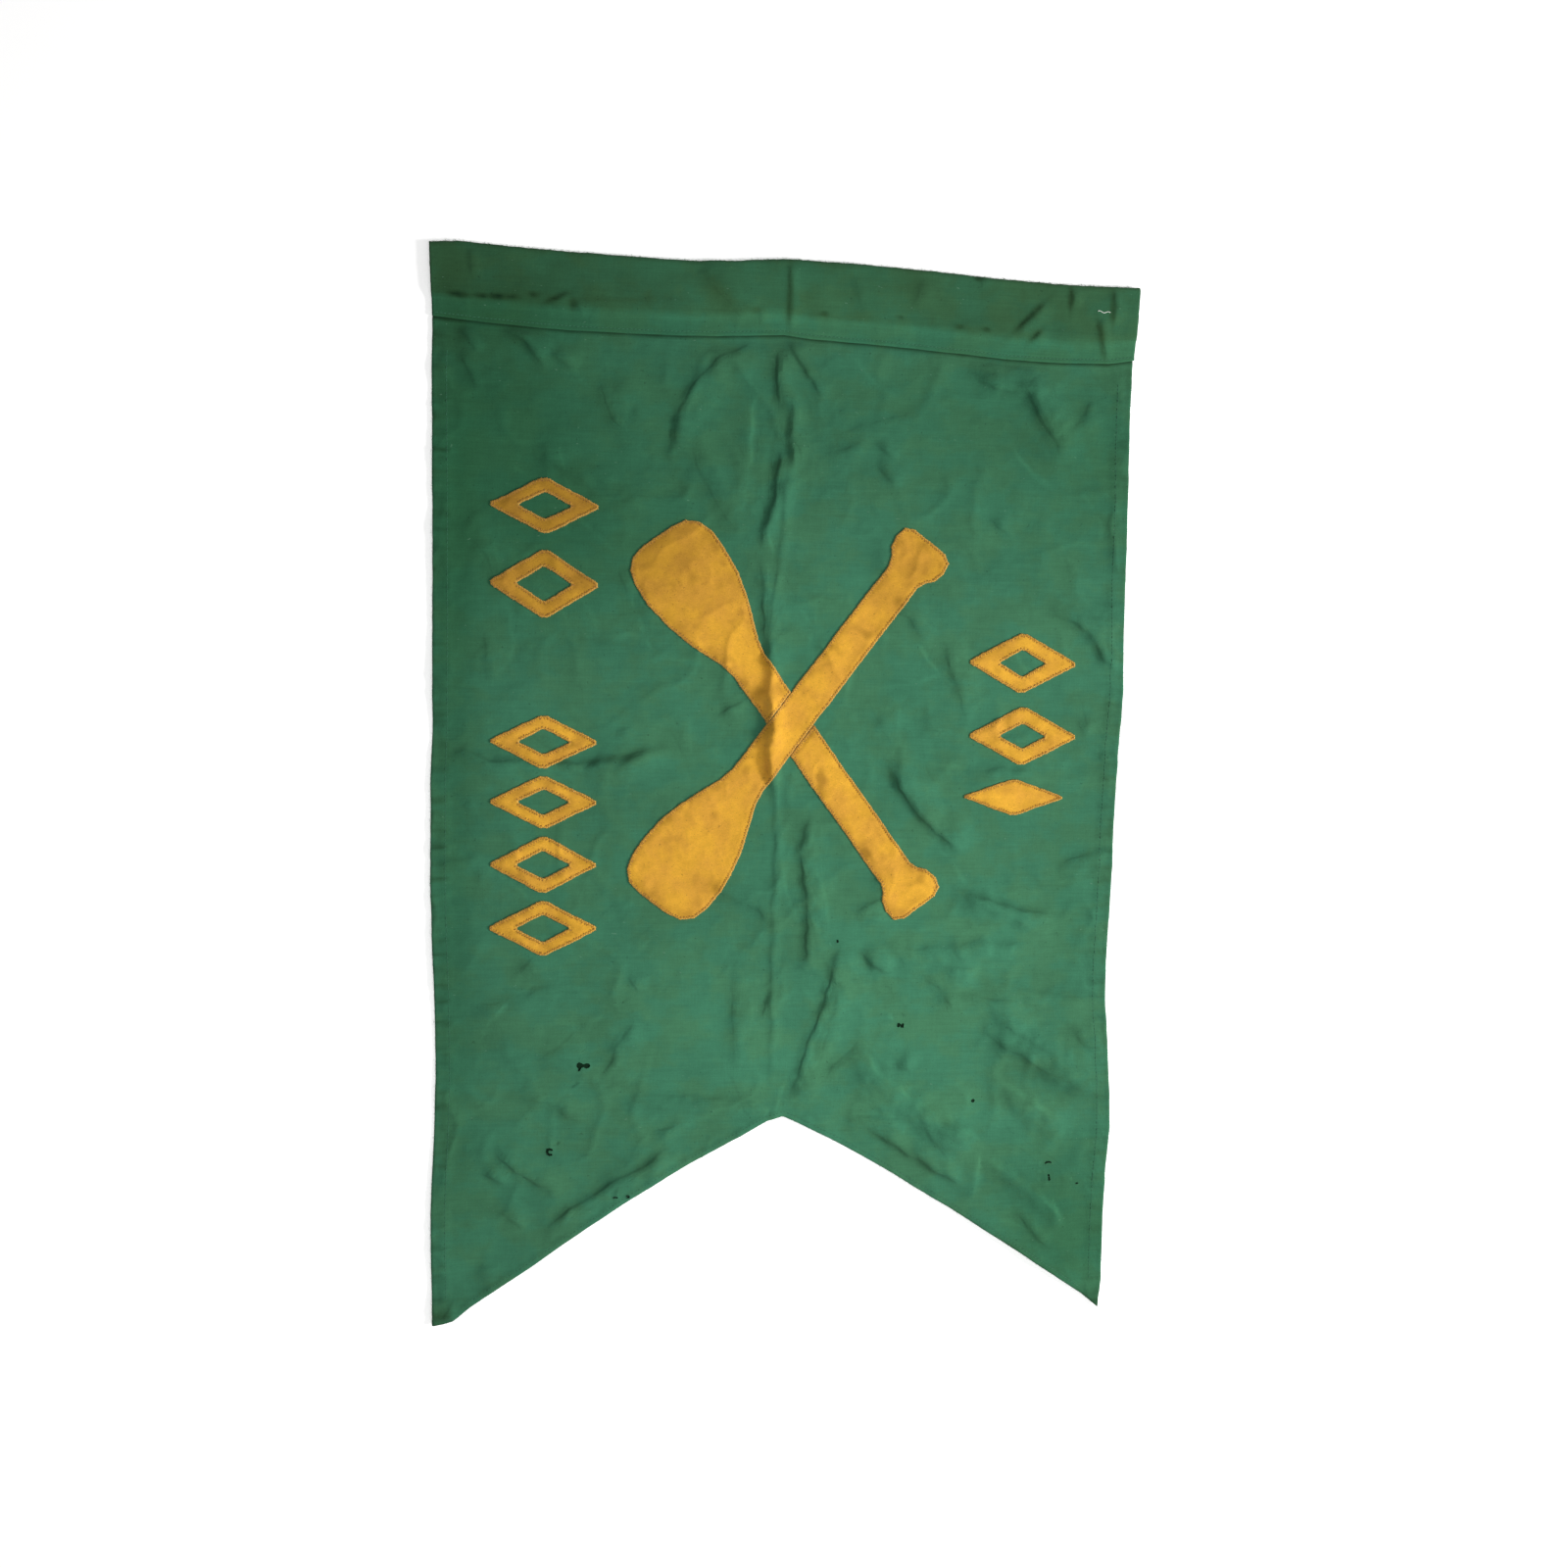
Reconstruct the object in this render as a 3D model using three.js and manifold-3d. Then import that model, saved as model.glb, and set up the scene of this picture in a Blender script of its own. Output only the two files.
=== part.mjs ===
// Swallow-tailed guidon: a green cotton flag with a staff sleeve sewn along
// its short straight edge, a forked fly edge, and gold felt pieces sewn on.
// It lies face up and open on a flat surface, with its old fold creases.
//
// Millimetres. +Z is up, +Y runs from the fork to the sleeve, +X across the
// flag. The origin is on the surface under the middle of the outline.
import * as THREE from 'three';
import { mergeVertices } from 'three/addons/utils/BufferGeometryUtils.js';
import Module from 'manifold-3d';

// ---- driving dimensions -------------------------------------------------
const CLOTH_T = 1.2;        // one thickness of the cotton, with its loft
const HEM_EXTRA = 0.8;      // the side hems are turned under once more
const HEM_W = 12;           // width of the side hems
const FELT_T = 1.5;         // gold felt
const GAP = 0.3;            // clearance between sewn layers
const SEAM_LAP = 12;        // body cloth tucked into the sleeve
const BACK_LAP = 2;         // back leaf of the sleeve reaches past the seam
const CHANNEL = 4.8;        // clear height of the flattened staff channel
const FOLD_LIMIT = 0.12;    // relief lower than this lies flat

// Outline, uneven as the old flag is. Side edges are [y, x], the others [x, y].
const LEFT = [[-388.2, -255.5], [-345, -256.4], [-300, -256.8], [-240, -254.4], [-200, -253.3],
  [-138, -254.1], [-100, -255.6], [-60, -256.7], [16, -256.5], [60, -255.2], [100, -255.1],
  [190, -255], [240, -255.3], [300, -255.5], [352, -255]];
const RIGHT = [[-391.4, 252.6], [-370, 254.9], [-330, 254.8], [-285, 255], [-249, 257],
  [-222, 255.8], [-180, 252], [-150, 249.7], [-117, 249.1], [-40, 250.4], [40, 251.2],
  [90, 253.2], [140, 252.1], [190, 251.4], [240, 250.7], [300, 249.9], [352, 250.2]];
const HOIST = [[-257, 388.6], [-238, 390.4], [-206, 388.6], [-158, 387.4], [-110, 386.4],
  [-76, 386.4], [-42, 388.3], [-8, 391.4], [42, 390.8], [94, 389], [146, 386.2],
  [200, 384.8], [253, 385.8]];
const SEAM = [[-257, 338.8], [-229, 336.8], [-196, 334.9], [-162, 333.8], [-93, 333.9],
  [-58, 335], [-23, 337.5], [-10, 338.3], [12, 336.3], [48, 335.2], [84, 333.6],
  [120, 331.6], [157, 329.3], [194, 328.8], [232, 330], [253, 333.5]];
const FORK = [[-255.5, -388.2], [-241, -385.6], [-229, -376.4], [-206.5, -361], [-183.7, -346],
  [-161, -329.7], [-138, -313.8], [-115, -298.3], [-92, -283.9], [-68.6, -270.3],
  [-45, -257.8], [-22, -244.8], [-10, -238], [1.6, -234.6], [13.6, -240.2], [38, -252.8],
  [62, -266.2], [87, -280.8], [112, -296.6], [137, -311.8], [162, -328], [188, -344.5],
  [213, -361.5], [239, -380], [252.6, -391.4]];
const SLEEVE_X = [-256.8, 252.4];

// Old creases that stand up as soft ridges: [height, half width, [[x, y], ...]].
const CREASES = [
  [3.0, 8, [[-9, 326], [-7, 300], [-5, 252], [-8, 232], [-12, 213], [-19, 188]]],
  [2.2, 9, [[-19, 188], [-19, 150], [-16, 110], [-13, 80], [-13, 45], [-11, 12]]],
  [2.6, 9, [[12, -35], [16, -57], [20, -80], [18, -119]]],
  [3.6, 9, [[43, -100], [37, -124], [32, -146], [24, -172], [17, -194], [9, -217], [5, -230]]],
  [3.0, 9, [[-22, 326], [-52, 320], [-69, 302], [-79, 284], [-83, 262], [-89, 248]]],
  [2.0, 12, [[-142, 306], [-130, 273], [-109, 257]]],
  [1.6, 9, [[-238, 325], [-222, 314]]],
  [2.0, 10, [[-211, 326], [-193, 322], [-176, 306]]],
  [1.5, 12, [[-80, 268], [-64, 234], [-49, 207], [-35, 194]]],
  [2.6, 10, [[121, 315], [147, 307], [169, 302], [181, 288], [193, 272], [202, 256]]],
  [2.0, 9, [[218, 306], [213, 288], [205, 280]]],
  [1.5, 10, [[21, 255], [57, 269]]],
  [1.8, 10, [[114, 127], [120, 105], [127, 80], [133, 66]]],
  [3.0, 10, [[70, 39], [82, 17], [98, -5], [113, -19], [128, -30], [142, -38]]],
  [2.0, 9, [[129, -61], [148, -67], [168, -73], [195, -79], [210, -84]]],
  [1.5, 10, [[205, -45], [220, -36], [247, -33]]],
  [2.0, 10, [[190, 147], [209, 140], [225, 133], [237, 112], [249, 101]]],
  [1.6, 9, [[-251, 31], [-232, 37], [-215, 31], [-137, 30], [-117, 34], [-89, 42], [-82, 44]]],
  [2.5, 11, [[60, -174], [77, -195], [100, -214], [131, -234], [170, -256]]],
  [2.0, 10, [[60, -174], [25, -213]]],
  [3.0, 13, [[152, -169], [168, -181], [199, -200], [231, -216], [251, -221]]],
  [2.0, 9, [[63, -244], [82, -256], [109, -272], [133, -288], [145, -296]]],
  [2.0, 9, [[155, -268], [152, -299]]],
  [2.5, 10, [[155, -268], [179, -281], [199, -295], [215, -310], [224, -329]]],
  [2.5, 10, [[-178, -318], [-157, -303], [-143, -293], [-121, -280], [-99, -267], [-74, -253]]],
  [1.8, 9, [[-115, -215], [-71, -218], [-20, -222], [-8, -226], [-2, -230]]],
  [2.0, 11, [[-183, -192], [-151, -166]]],
  [1.8, 10, [[-136, -207], [-126, -189], [-115, -167], [-108, -159]]],
  [2.0, 10, [[-31, -119], [-31, -205]]],
  [1.8, 10, [[-214, -257], [-193, -273], [-171, -288], [-168, -296]]],
];
// Stretches that stand off the surface: [height, x, y, long, across, angle].
const LIFTS = [
  [6.0, 199, -356, 46, 20, -35],
  [2.2, -246, -380, 16, 16, 0],
];

// Sewn-on felt. The two crossed paddles fill the middle.
const PADDLE = { x: 1, y: 60.2, tilt: 53.5 };
const PADDLE_SIDE = [[-165.5, 12], [-163.5, 23], [-157, 30.5], [-146, 34], [-130, 34.5],
  [-112, 32.5], [-94, 28], [-78, 22], [-64, 16.6], [-52, 13.8], [136, 13.5], [143, 16],
  [148, 20.5], [156, 22.5], [165, 21], [168.5, 14]];
// Lozenges: [name, x, y, half along x, half along y, border (0 is solid)].
const LOZENGES = [
  ['lozenge_a1', -177.4, 211.7, 39.9, 20.4, 9.4],
  ['lozenge_a2', -177.4, 156.7, 39.9, 25.2, 10.5],
  ['lozenge_a3', -177.2, 44.2, 39.7, 19.8, 9.4],
  ['lozenge_a4', -177.2, 0.7, 39.8, 20.0, 9.4],
  ['lozenge_a5', -177.0, -44.8, 40.0, 21.4, 9.6],
  ['lozenge_a6', -176.8, -91.3, 40.4, 21.0, 9.6],
  ['lozenge_b1', 174.6, 108.7, 42.8, 23.2, 11.6],
  ['lozenge_b2', 176.6, 54.2, 43.0, 22.6, 11.6],
  ['lozenge_b3', 171.2, 8.2, 40.4, 14.2, 0],
];

const GREEN = new THREE.MeshStandardMaterial({ color: 0x3a6f50, roughness: 0.92, metalness: 0 });
const GREEN_DARK = new THREE.MeshStandardMaterial({ color: 0x34614a, roughness: 0.92, metalness: 0 });
const GOLD = new THREE.MeshStandardMaterial({ color: 0xd39b35, roughness: 0.97, metalness: 0 });

// ---- helpers -------------------------------------------------------------
const lerp = (a, b, t) => a + (b - a) * t;
const step01 = (t) => { const u = Math.min(1, Math.max(0, t)); return u * u * (3 - 2 * u); };

function along(table, u) {
  if (u <= table[0][0]) return table[0][1];
  for (let i = 1; i < table.length; i++) {
    if (u <= table[i][0]) {
      return lerp(table[i - 1][1], table[i][1], (u - table[i - 1][0]) / (table[i][0] - table[i - 1][0]));
    }
  }
  return table[table.length - 1][1];
}

function creaseHeight(x, y, [height, width, pts]) {
  let best = Infinity, at = 0, run = 0;
  let total = 0;
  for (let i = 1; i < pts.length; i++) total += Math.hypot(pts[i][0] - pts[i - 1][0], pts[i][1] - pts[i - 1][1]);
  for (let i = 1; i < pts.length; i++) {
    const [ax, ay] = pts[i - 1], [bx, by] = pts[i];
    const len = Math.hypot(bx - ax, by - ay);
    const t = Math.min(1, Math.max(0, ((x - ax) * (bx - ax) + (y - ay) * (by - ay)) / (len * len)));
    const d = Math.hypot(x - lerp(ax, bx, t), y - lerp(ay, by, t));
    if (d < best) { best = d; at = run + t * len; }
    run += len;
  }
  const taper = Math.min(1, 0.35 + Math.min(at, total - at) / (2.2 * width));
  return height * taper * Math.exp(-((best / width) ** 2));
}

function relief(x, y) {
  let sum = 0;
  for (const crease of CREASES) sum += creaseHeight(x, y, crease) ** 3;
  for (const [height, cx, cy, long, across, angle] of LIFTS) {
    const a = angle * Math.PI / 180, dx = x - cx, dy = y - cy;
    const u = (dx * Math.cos(a) + dy * Math.sin(a)) / long, v = (dy * Math.cos(a) - dx * Math.sin(a)) / across;
    sum += (height * Math.exp(-(u * u + v * v))) ** 3;
  }
  return Math.max(0, Math.cbrt(sum) - FOLD_LIMIT);
}

// ---- the body cloth: one grid of points, shared by all that lies on it ----
const COLUMNS = [];
for (let x = -254; x < -38; x += 15.4) COLUMNS.push(x);
COLUMNS.splice(1, 0, -254 + HEM_W, -254 + HEM_W + 1.5);
COLUMNS.splice(3, 1);
for (let x = -38; x < 58; x += 8) COLUMNS.push(x);
for (let x = 58; x < 250; x += 15.2) COLUMNS.push(x);
COLUMNS.pop();
COLUMNS.push(254 - HEM_W - 1.5, 254 - HEM_W, 254);
const ROWS = 34;              // rows below the seam rows
const SEAM_ROWS = [SEAM_LAP, -4, -16];

function clothPoint(i, j) {
  const s = (COLUMNS[i] + 254) / 508;
  let x = COLUMNS[i], y = 0;
  for (let n = 0; n < 6; n++) {
    const top = along(SEAM, x);
    y = j < SEAM_ROWS.length ? top + SEAM_ROWS[j]
      : lerp(top + SEAM_ROWS[2], along(FORK, x), (j - 2) / ROWS);
    x = lerp(along(LEFT, y), along(RIGHT, y), s);
  }
  const underSleeve = j < 2;
  const base = underSleeve ? CLOTH_T + GAP : relief(x, y);
  const hem = !underSleeve && (i < 2 || i > COLUMNS.length - 3) ? HEM_EXTRA : 0;
  return [x, y, base, base + CLOTH_T + hem];
}
const NI = COLUMNS.length, NJ = SEAM_ROWS.length + ROWS;
const GRID = [];
for (let j = 0; j < NJ; j++) {
  GRID.push([]);
  for (let i = 0; i < NI; i++) GRID[j].push(clothPoint(i, j));
}

// A closed sheet over the grid cells i0..i1, j0..j1, between two heights.
function sheet(i0, i1, j0, j1, low, high) {
  const w = i1 - i0 + 1, h = j1 - j0 + 1, pos = [], tri = [];
  for (const height of [low, high]) {
    for (let j = j0; j <= j1; j++) for (let i = i0; i <= i1; i++) {
      const p = GRID[j][i];
      pos.push(p[0], p[1], height(p));
    }
  }
  const id = (layer, i, j) => layer * w * h + (j - j0) * w + (i - i0);
  for (let j = j0; j < j1; j++) for (let i = i0; i < i1; i++) {
    const a = GRID[j][i], b = GRID[j][i + 1], c = GRID[j + 1][i + 1], d = GRID[j + 1][i];
    const ac = Math.hypot(a[0] - c[0], a[1] - c[1], 6 * (a[2] - c[2]));
    const bd = Math.hypot(b[0] - d[0], b[1] - d[1], 6 * (b[2] - d[2]));
    const cells = ac <= bd ? [[i, j, i, j + 1, i + 1, j + 1], [i, j, i + 1, j + 1, i + 1, j]]
      : [[i, j, i, j + 1, i + 1, j], [i + 1, j, i, j + 1, i + 1, j + 1]];
    for (const [p, q, r, s, t, u] of cells) {
      tri.push(id(1, p, q), id(1, r, s), id(1, t, u));
      tri.push(id(0, p, q), id(0, t, u), id(0, r, s));
    }
  }
  const rim = [];
  for (let i = i0; i < i1; i++) rim.push([i, j0]);
  for (let j = j0; j < j1; j++) rim.push([i1, j]);
  for (let i = i1; i > i0; i--) rim.push([i, j1]);
  for (let j = j1; j > j0; j--) rim.push([i0, j]);
  for (let k = 0; k < rim.length; k++) {
    const [i, j] = rim[k], [m, n] = rim[(k + 1) % rim.length];
    tri.push(id(0, i, j), id(1, i, j), id(1, m, n), id(0, i, j), id(1, m, n), id(0, m, n));
  }
  const g = new THREE.BufferGeometry();
  g.setAttribute('position', new THREE.Float32BufferAttribute(pos, 3));
  g.setIndex(tri);
  return g;
}

// ---- the staff sleeve: one strip folded at the hoist edge -----------------
function sleeveSection(x) {
  const s = along(SEAM, x), e = along(HOIST, x), T = CLOTH_T;
  const sag = 0.5 * (1 + Math.sin(x / 37 + 0.8)) * 0.7;          // the upper leaf is not quite even
  const lap = 2 * T + 2 * GAP;                                    // underside of the upper leaf on the seam
  const top = T + CHANNEL + sag;                                  // underside of the upper leaf over the channel
  const r = (top + T) / 2, ri = (top - T) / 2;
  const out = [[s + BACK_LAP, 0], [lerp(s, e, 0.5), 0], [e - r, 0]];
  for (let k = 1; k < 6; k++) {
    const a = -Math.PI / 2 + Math.PI * k / 6;
    out.push([e - r + r * Math.cos(a), r + r * Math.sin(a)]);
  }
  out.push([e - r, 2 * r], [lerp(s, e, 0.5), 2 * r - 0.25], [s + 21, 2 * r - 0.2],
    [s + SEAM_LAP + 1, lap + T + 0.15], [s, lap + T]);
  const inn = [[s, lap], [s + SEAM_LAP + 1, lap + 0.15], [s + 21, top - 0.2], [lerp(s, e, 0.5), top - 0.25], [e - r, top]];
  for (let k = 1; k < 6; k++) {
    const a = Math.PI / 2 - Math.PI * k / 6;
    inn.push([e - r + ri * Math.cos(a), r + ri * Math.sin(a)]);
  }
  inn.push([e - r, T], [lerp(s, e, 0.5), T], [s + BACK_LAP, T]);
  return [...out, ...inn];
}
function sleeve() {
  const xs = [];
  for (let k = 0; k <= 26; k++) xs.push(lerp(SLEEVE_X[0], SLEEVE_X[1], k / 26));
  const loops = xs.map(sleeveSection), n = loops[0].length, pos = [], tri = [];
  loops.forEach((loop, k) => loop.forEach(([y, z]) => pos.push(xs[k], y, z)));
  for (let k = 0; k < xs.length - 1; k++) for (let i = 0; i < n; i++) {
    const a = k * n + i, b = k * n + (i + 1) % n, c = a + n, d = b + n;
    tri.push(a, b, c, b, d, c);
  }
  const ends = [[0, false], [xs.length - 1, true]];
  for (const [k, last] of ends) {
    const faces = THREE.ShapeUtils.triangulateShape(loops[k].map(([y, z]) => new THREE.Vector2(y, z)), []);
    for (const [a, b, c] of faces) tri.push(k * n + a, k * n + (last ? b : c), k * n + (last ? c : b));
  }
  const g = new THREE.BufferGeometry();
  g.setAttribute('position', new THREE.Float32BufferAttribute(pos, 3));
  g.setIndex(tri);
  return g;
}

// ---- felt: the cloth's own folds, cut to the outline ----------------------
const wasm = await Module();
wasm.setup();
function solid(geometry) {
  const g = geometry.clone();
  g.deleteAttribute('normal');
  g.deleteAttribute('uv');
  const m = mergeVertices(g, 1e-4);
  return new wasm.Manifold(new wasm.Mesh({
    numProp: 3,
    vertProperties: new Float32Array(m.attributes.position.array),
    triVerts: new Uint32Array(m.index.array),
  }));
}
function geometryOf(manifold) {
  const mesh = manifold.getMesh(), g = new THREE.BufferGeometry();
  g.setAttribute('position', new THREE.BufferAttribute(new Float32Array(mesh.vertProperties), 3));
  g.setIndex(new THREE.BufferAttribute(new Uint32Array(mesh.triVerts), 1));
  return g;
}
function prism(outline, hole = null) {
  const shape = new THREE.Shape(outline.map(([x, y]) => new THREE.Vector2(x, y)));
  if (hole) shape.holes.push(new THREE.Path(hole.map(([x, y]) => new THREE.Vector2(x, y))));
  const g = new THREE.ExtrudeGeometry(shape, { depth: 60, bevelEnabled: false });
  g.translate(0, 0, -20);
  return solid(g);
}
function feltUnder(outline) {
  const xs = outline.map((p) => p[0]), ys = outline.map((p) => p[1]);
  const x0 = Math.min(...xs) - 16, x1 = Math.max(...xs) + 16, y0 = Math.min(...ys) - 22, y1 = Math.max(...ys) + 22;
  let i0 = NI, i1 = 0, j0 = NJ, j1 = 0;
  for (let j = 0; j < NJ; j++) for (let i = 0; i < NI; i++) {
    const [x, y] = GRID[j][i];
    if (x > x0 && x < x1 && y > y0 && y < y1) {
      i0 = Math.min(i0, i); i1 = Math.max(i1, i); j0 = Math.min(j0, j); j1 = Math.max(j1, j);
    }
  }
  return solid(sheet(i0, i1, j0, j1, (p) => p[3] + GAP, (p) => p[3] + GAP + FELT_T));
}
function felt(outline, hole, away = []) {
  let piece = feltUnder(outline).intersect(prism(outline, hole));
  for (const cut of away) piece = piece.subtract(prism(cut));
  return geometryOf(piece);
}

function paddle(mirror, grow = 0, keep = null) {
  const a = PADDLE.tilt * Math.PI / 180, c = Math.cos(a), s = Math.sin(a);
  let side = PADDLE_SIDE.map(([u, v]) => [u, v + grow]);
  if (keep === 'blade') side = [...side.filter(([u]) => u < 0), [0, 13.6 + grow]];
  if (keep === 'shaft') side = [[0, 13.6 + grow], ...side.filter(([u]) => u > 0)];
  const loop = [...side.map(([u, v]) => [u, -v]), ...side.slice().reverse()];
  const placed = loop.map(([u, v]) => [PADDLE.x + u * c - v * s, PADDLE.y + (mirror ? -1 : 1) * (u * s + v * c)]);
  return mirror ? placed.reverse() : placed;
}
function lozenge(x, y, hx, hy) {
  const b = 0.06;                                                  // corners are a little blunt
  const q = [[1 - b, -b], [1 - b, b], [b, 1 - b], [-b, 1 - b], [-1 + b, b], [-1 + b, -b], [-b, -1 + b], [b, -1 + b]];
  return q.map(([u, v]) => [x + u * hx, y + v * hy]);
}

// ---- the flag -------------------------------------------------------------
const flag = new THREE.Group();
function add(name, geometry, material) {
  const mesh = new THREE.Mesh(geometry, material);
  mesh.name = name;
  flag.add(mesh);
}
add('cloth_body', sheet(0, NI - 1, 0, NJ - 1, (p) => p[2], (p) => p[3]), GREEN);
add('hoist_sleeve', sleeve(), GREEN_DARK);
const front = paddle(false), round_front = paddle(false, 0.4);
add('paddle_front', felt(front, null), GOLD);
add('paddle_rear_blade', felt(paddle(true, 0, 'blade'), null, [round_front]), GOLD);
add('paddle_rear_shaft', felt(paddle(true, 0, 'shaft'), null, [round_front]), GOLD);
for (const [name, x, y, hx, hy, border] of LOZENGES) {
  const reach = hx * hy / Math.hypot(hx, hy);
  const k = border ? (reach - border) / reach : 0;
  add(name, felt(lozenge(x, y, hx, hy), border ? lozenge(x, y, hx * k, hy * k).reverse() : null), GOLD);
}

export default flag;
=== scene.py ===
"""Swallow-tailed green cotton flag, open and face up: the looks.

Sizes below are in millimetres and become metres when a mesh is made. +X is
across the flag, +Y towards the staff sleeve, +Z up, as in the CAD.
"""
import math

import bpy
import numpy as np
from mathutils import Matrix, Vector
from mathutils.geometry import delaunay_2d_cdt


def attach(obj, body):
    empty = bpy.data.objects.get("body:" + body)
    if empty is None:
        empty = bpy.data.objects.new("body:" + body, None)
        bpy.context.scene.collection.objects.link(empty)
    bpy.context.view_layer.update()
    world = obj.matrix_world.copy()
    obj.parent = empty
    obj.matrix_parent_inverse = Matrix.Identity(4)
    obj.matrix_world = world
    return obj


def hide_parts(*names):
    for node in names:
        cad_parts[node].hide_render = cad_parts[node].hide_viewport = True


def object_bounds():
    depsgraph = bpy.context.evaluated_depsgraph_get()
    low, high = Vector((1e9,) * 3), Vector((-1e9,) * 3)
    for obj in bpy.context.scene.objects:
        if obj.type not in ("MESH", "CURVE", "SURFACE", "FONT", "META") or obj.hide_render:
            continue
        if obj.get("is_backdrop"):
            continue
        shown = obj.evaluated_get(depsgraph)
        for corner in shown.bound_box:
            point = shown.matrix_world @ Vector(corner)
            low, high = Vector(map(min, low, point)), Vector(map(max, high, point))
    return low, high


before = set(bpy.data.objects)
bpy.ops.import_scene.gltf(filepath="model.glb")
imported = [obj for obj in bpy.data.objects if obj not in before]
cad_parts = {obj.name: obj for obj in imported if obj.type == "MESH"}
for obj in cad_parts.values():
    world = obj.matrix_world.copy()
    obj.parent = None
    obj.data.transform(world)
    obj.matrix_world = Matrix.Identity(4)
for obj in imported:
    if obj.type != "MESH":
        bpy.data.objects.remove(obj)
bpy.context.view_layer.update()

MM = 0.001
scene = bpy.context.scene
scene.view_settings.view_transform = "Standard"

# ------------------------------------------------------------------ sizes --
CLOTH = 0.85          # one thickness of the cotton
HEM_UP = 0.55         # what the turned-under hem adds
HEM_W = 12.0
LAP = 12.0            # body tucked into the sleeve
SEAM_Z = 1.15         # underside of the body on the sleeve's back leaf
FELT = 1.25           # felt, uncrushed
LIGHT = (0.95, -0.31)  # the way the light comes from, seen from above

LEFT = [[-388.2, -255.5], [-345, -256.4], [-300, -256.8], [-240, -254.4], [-200, -253.3],
        [-138, -254.1], [-100, -255.6], [-60, -256.7], [16, -256.5], [60, -255.2], [100, -255.1],
        [190, -255], [240, -255.3], [300, -255.5], [352, -255]]
RIGHT = [[-391.4, 252.6], [-370, 254.9], [-330, 254.8], [-285, 255], [-249, 257],
         [-222, 255.8], [-180, 252], [-150, 249.7], [-117, 249.1], [-40, 250.4], [40, 251.2],
         [90, 253.2], [140, 252.1], [190, 251.4], [240, 250.7], [300, 249.9], [352, 250.2]]
HOIST = [[-257, 388.6], [-238, 390.4], [-206, 388.6], [-158, 387.4], [-110, 386.4],
         [-76, 386.4], [-42, 388.3], [-8, 391.4], [42, 390.8], [94, 389], [146, 386.2],
         [200, 384.8], [253, 385.8]]
SEAM = [[-257, 338.8], [-229, 336.8], [-196, 334.9], [-162, 333.8], [-93, 333.9],
        [-58, 335], [-23, 337.5], [-10, 338.3], [12, 336.3], [48, 335.2], [84, 333.6],
        [120, 331.6], [157, 329.3], [194, 328.8], [232, 330], [253, 333.5]]
FORK = [[-255.5, -388.2], [-241, -385.6], [-229, -376.4], [-206.5, -361], [-183.7, -346],
        [-161, -329.7], [-138, -313.8], [-115, -298.3], [-92, -283.9], [-68.6, -270.3],
        [-45, -257.8], [-22, -244.8], [-10, -238], [1.6, -234.6], [13.6, -240.2], [38, -252.8],
        [62, -266.2], [87, -280.8], [112, -296.6], [137, -311.8], [162, -328], [188, -344.5],
        [213, -361.5], [239, -380], [252.6, -391.4]]
SLEEVE_X = (-256.8, 252.4)


def reader(table):
    t = np.array(table, float)
    return lambda u: np.interp(u, t[:, 0], t[:, 1])


left_at, right_at = reader(LEFT), reader(RIGHT)
hoist_at, seam_at, fork_at = reader(HOIST), reader(SEAM), reader(FORK)

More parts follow.
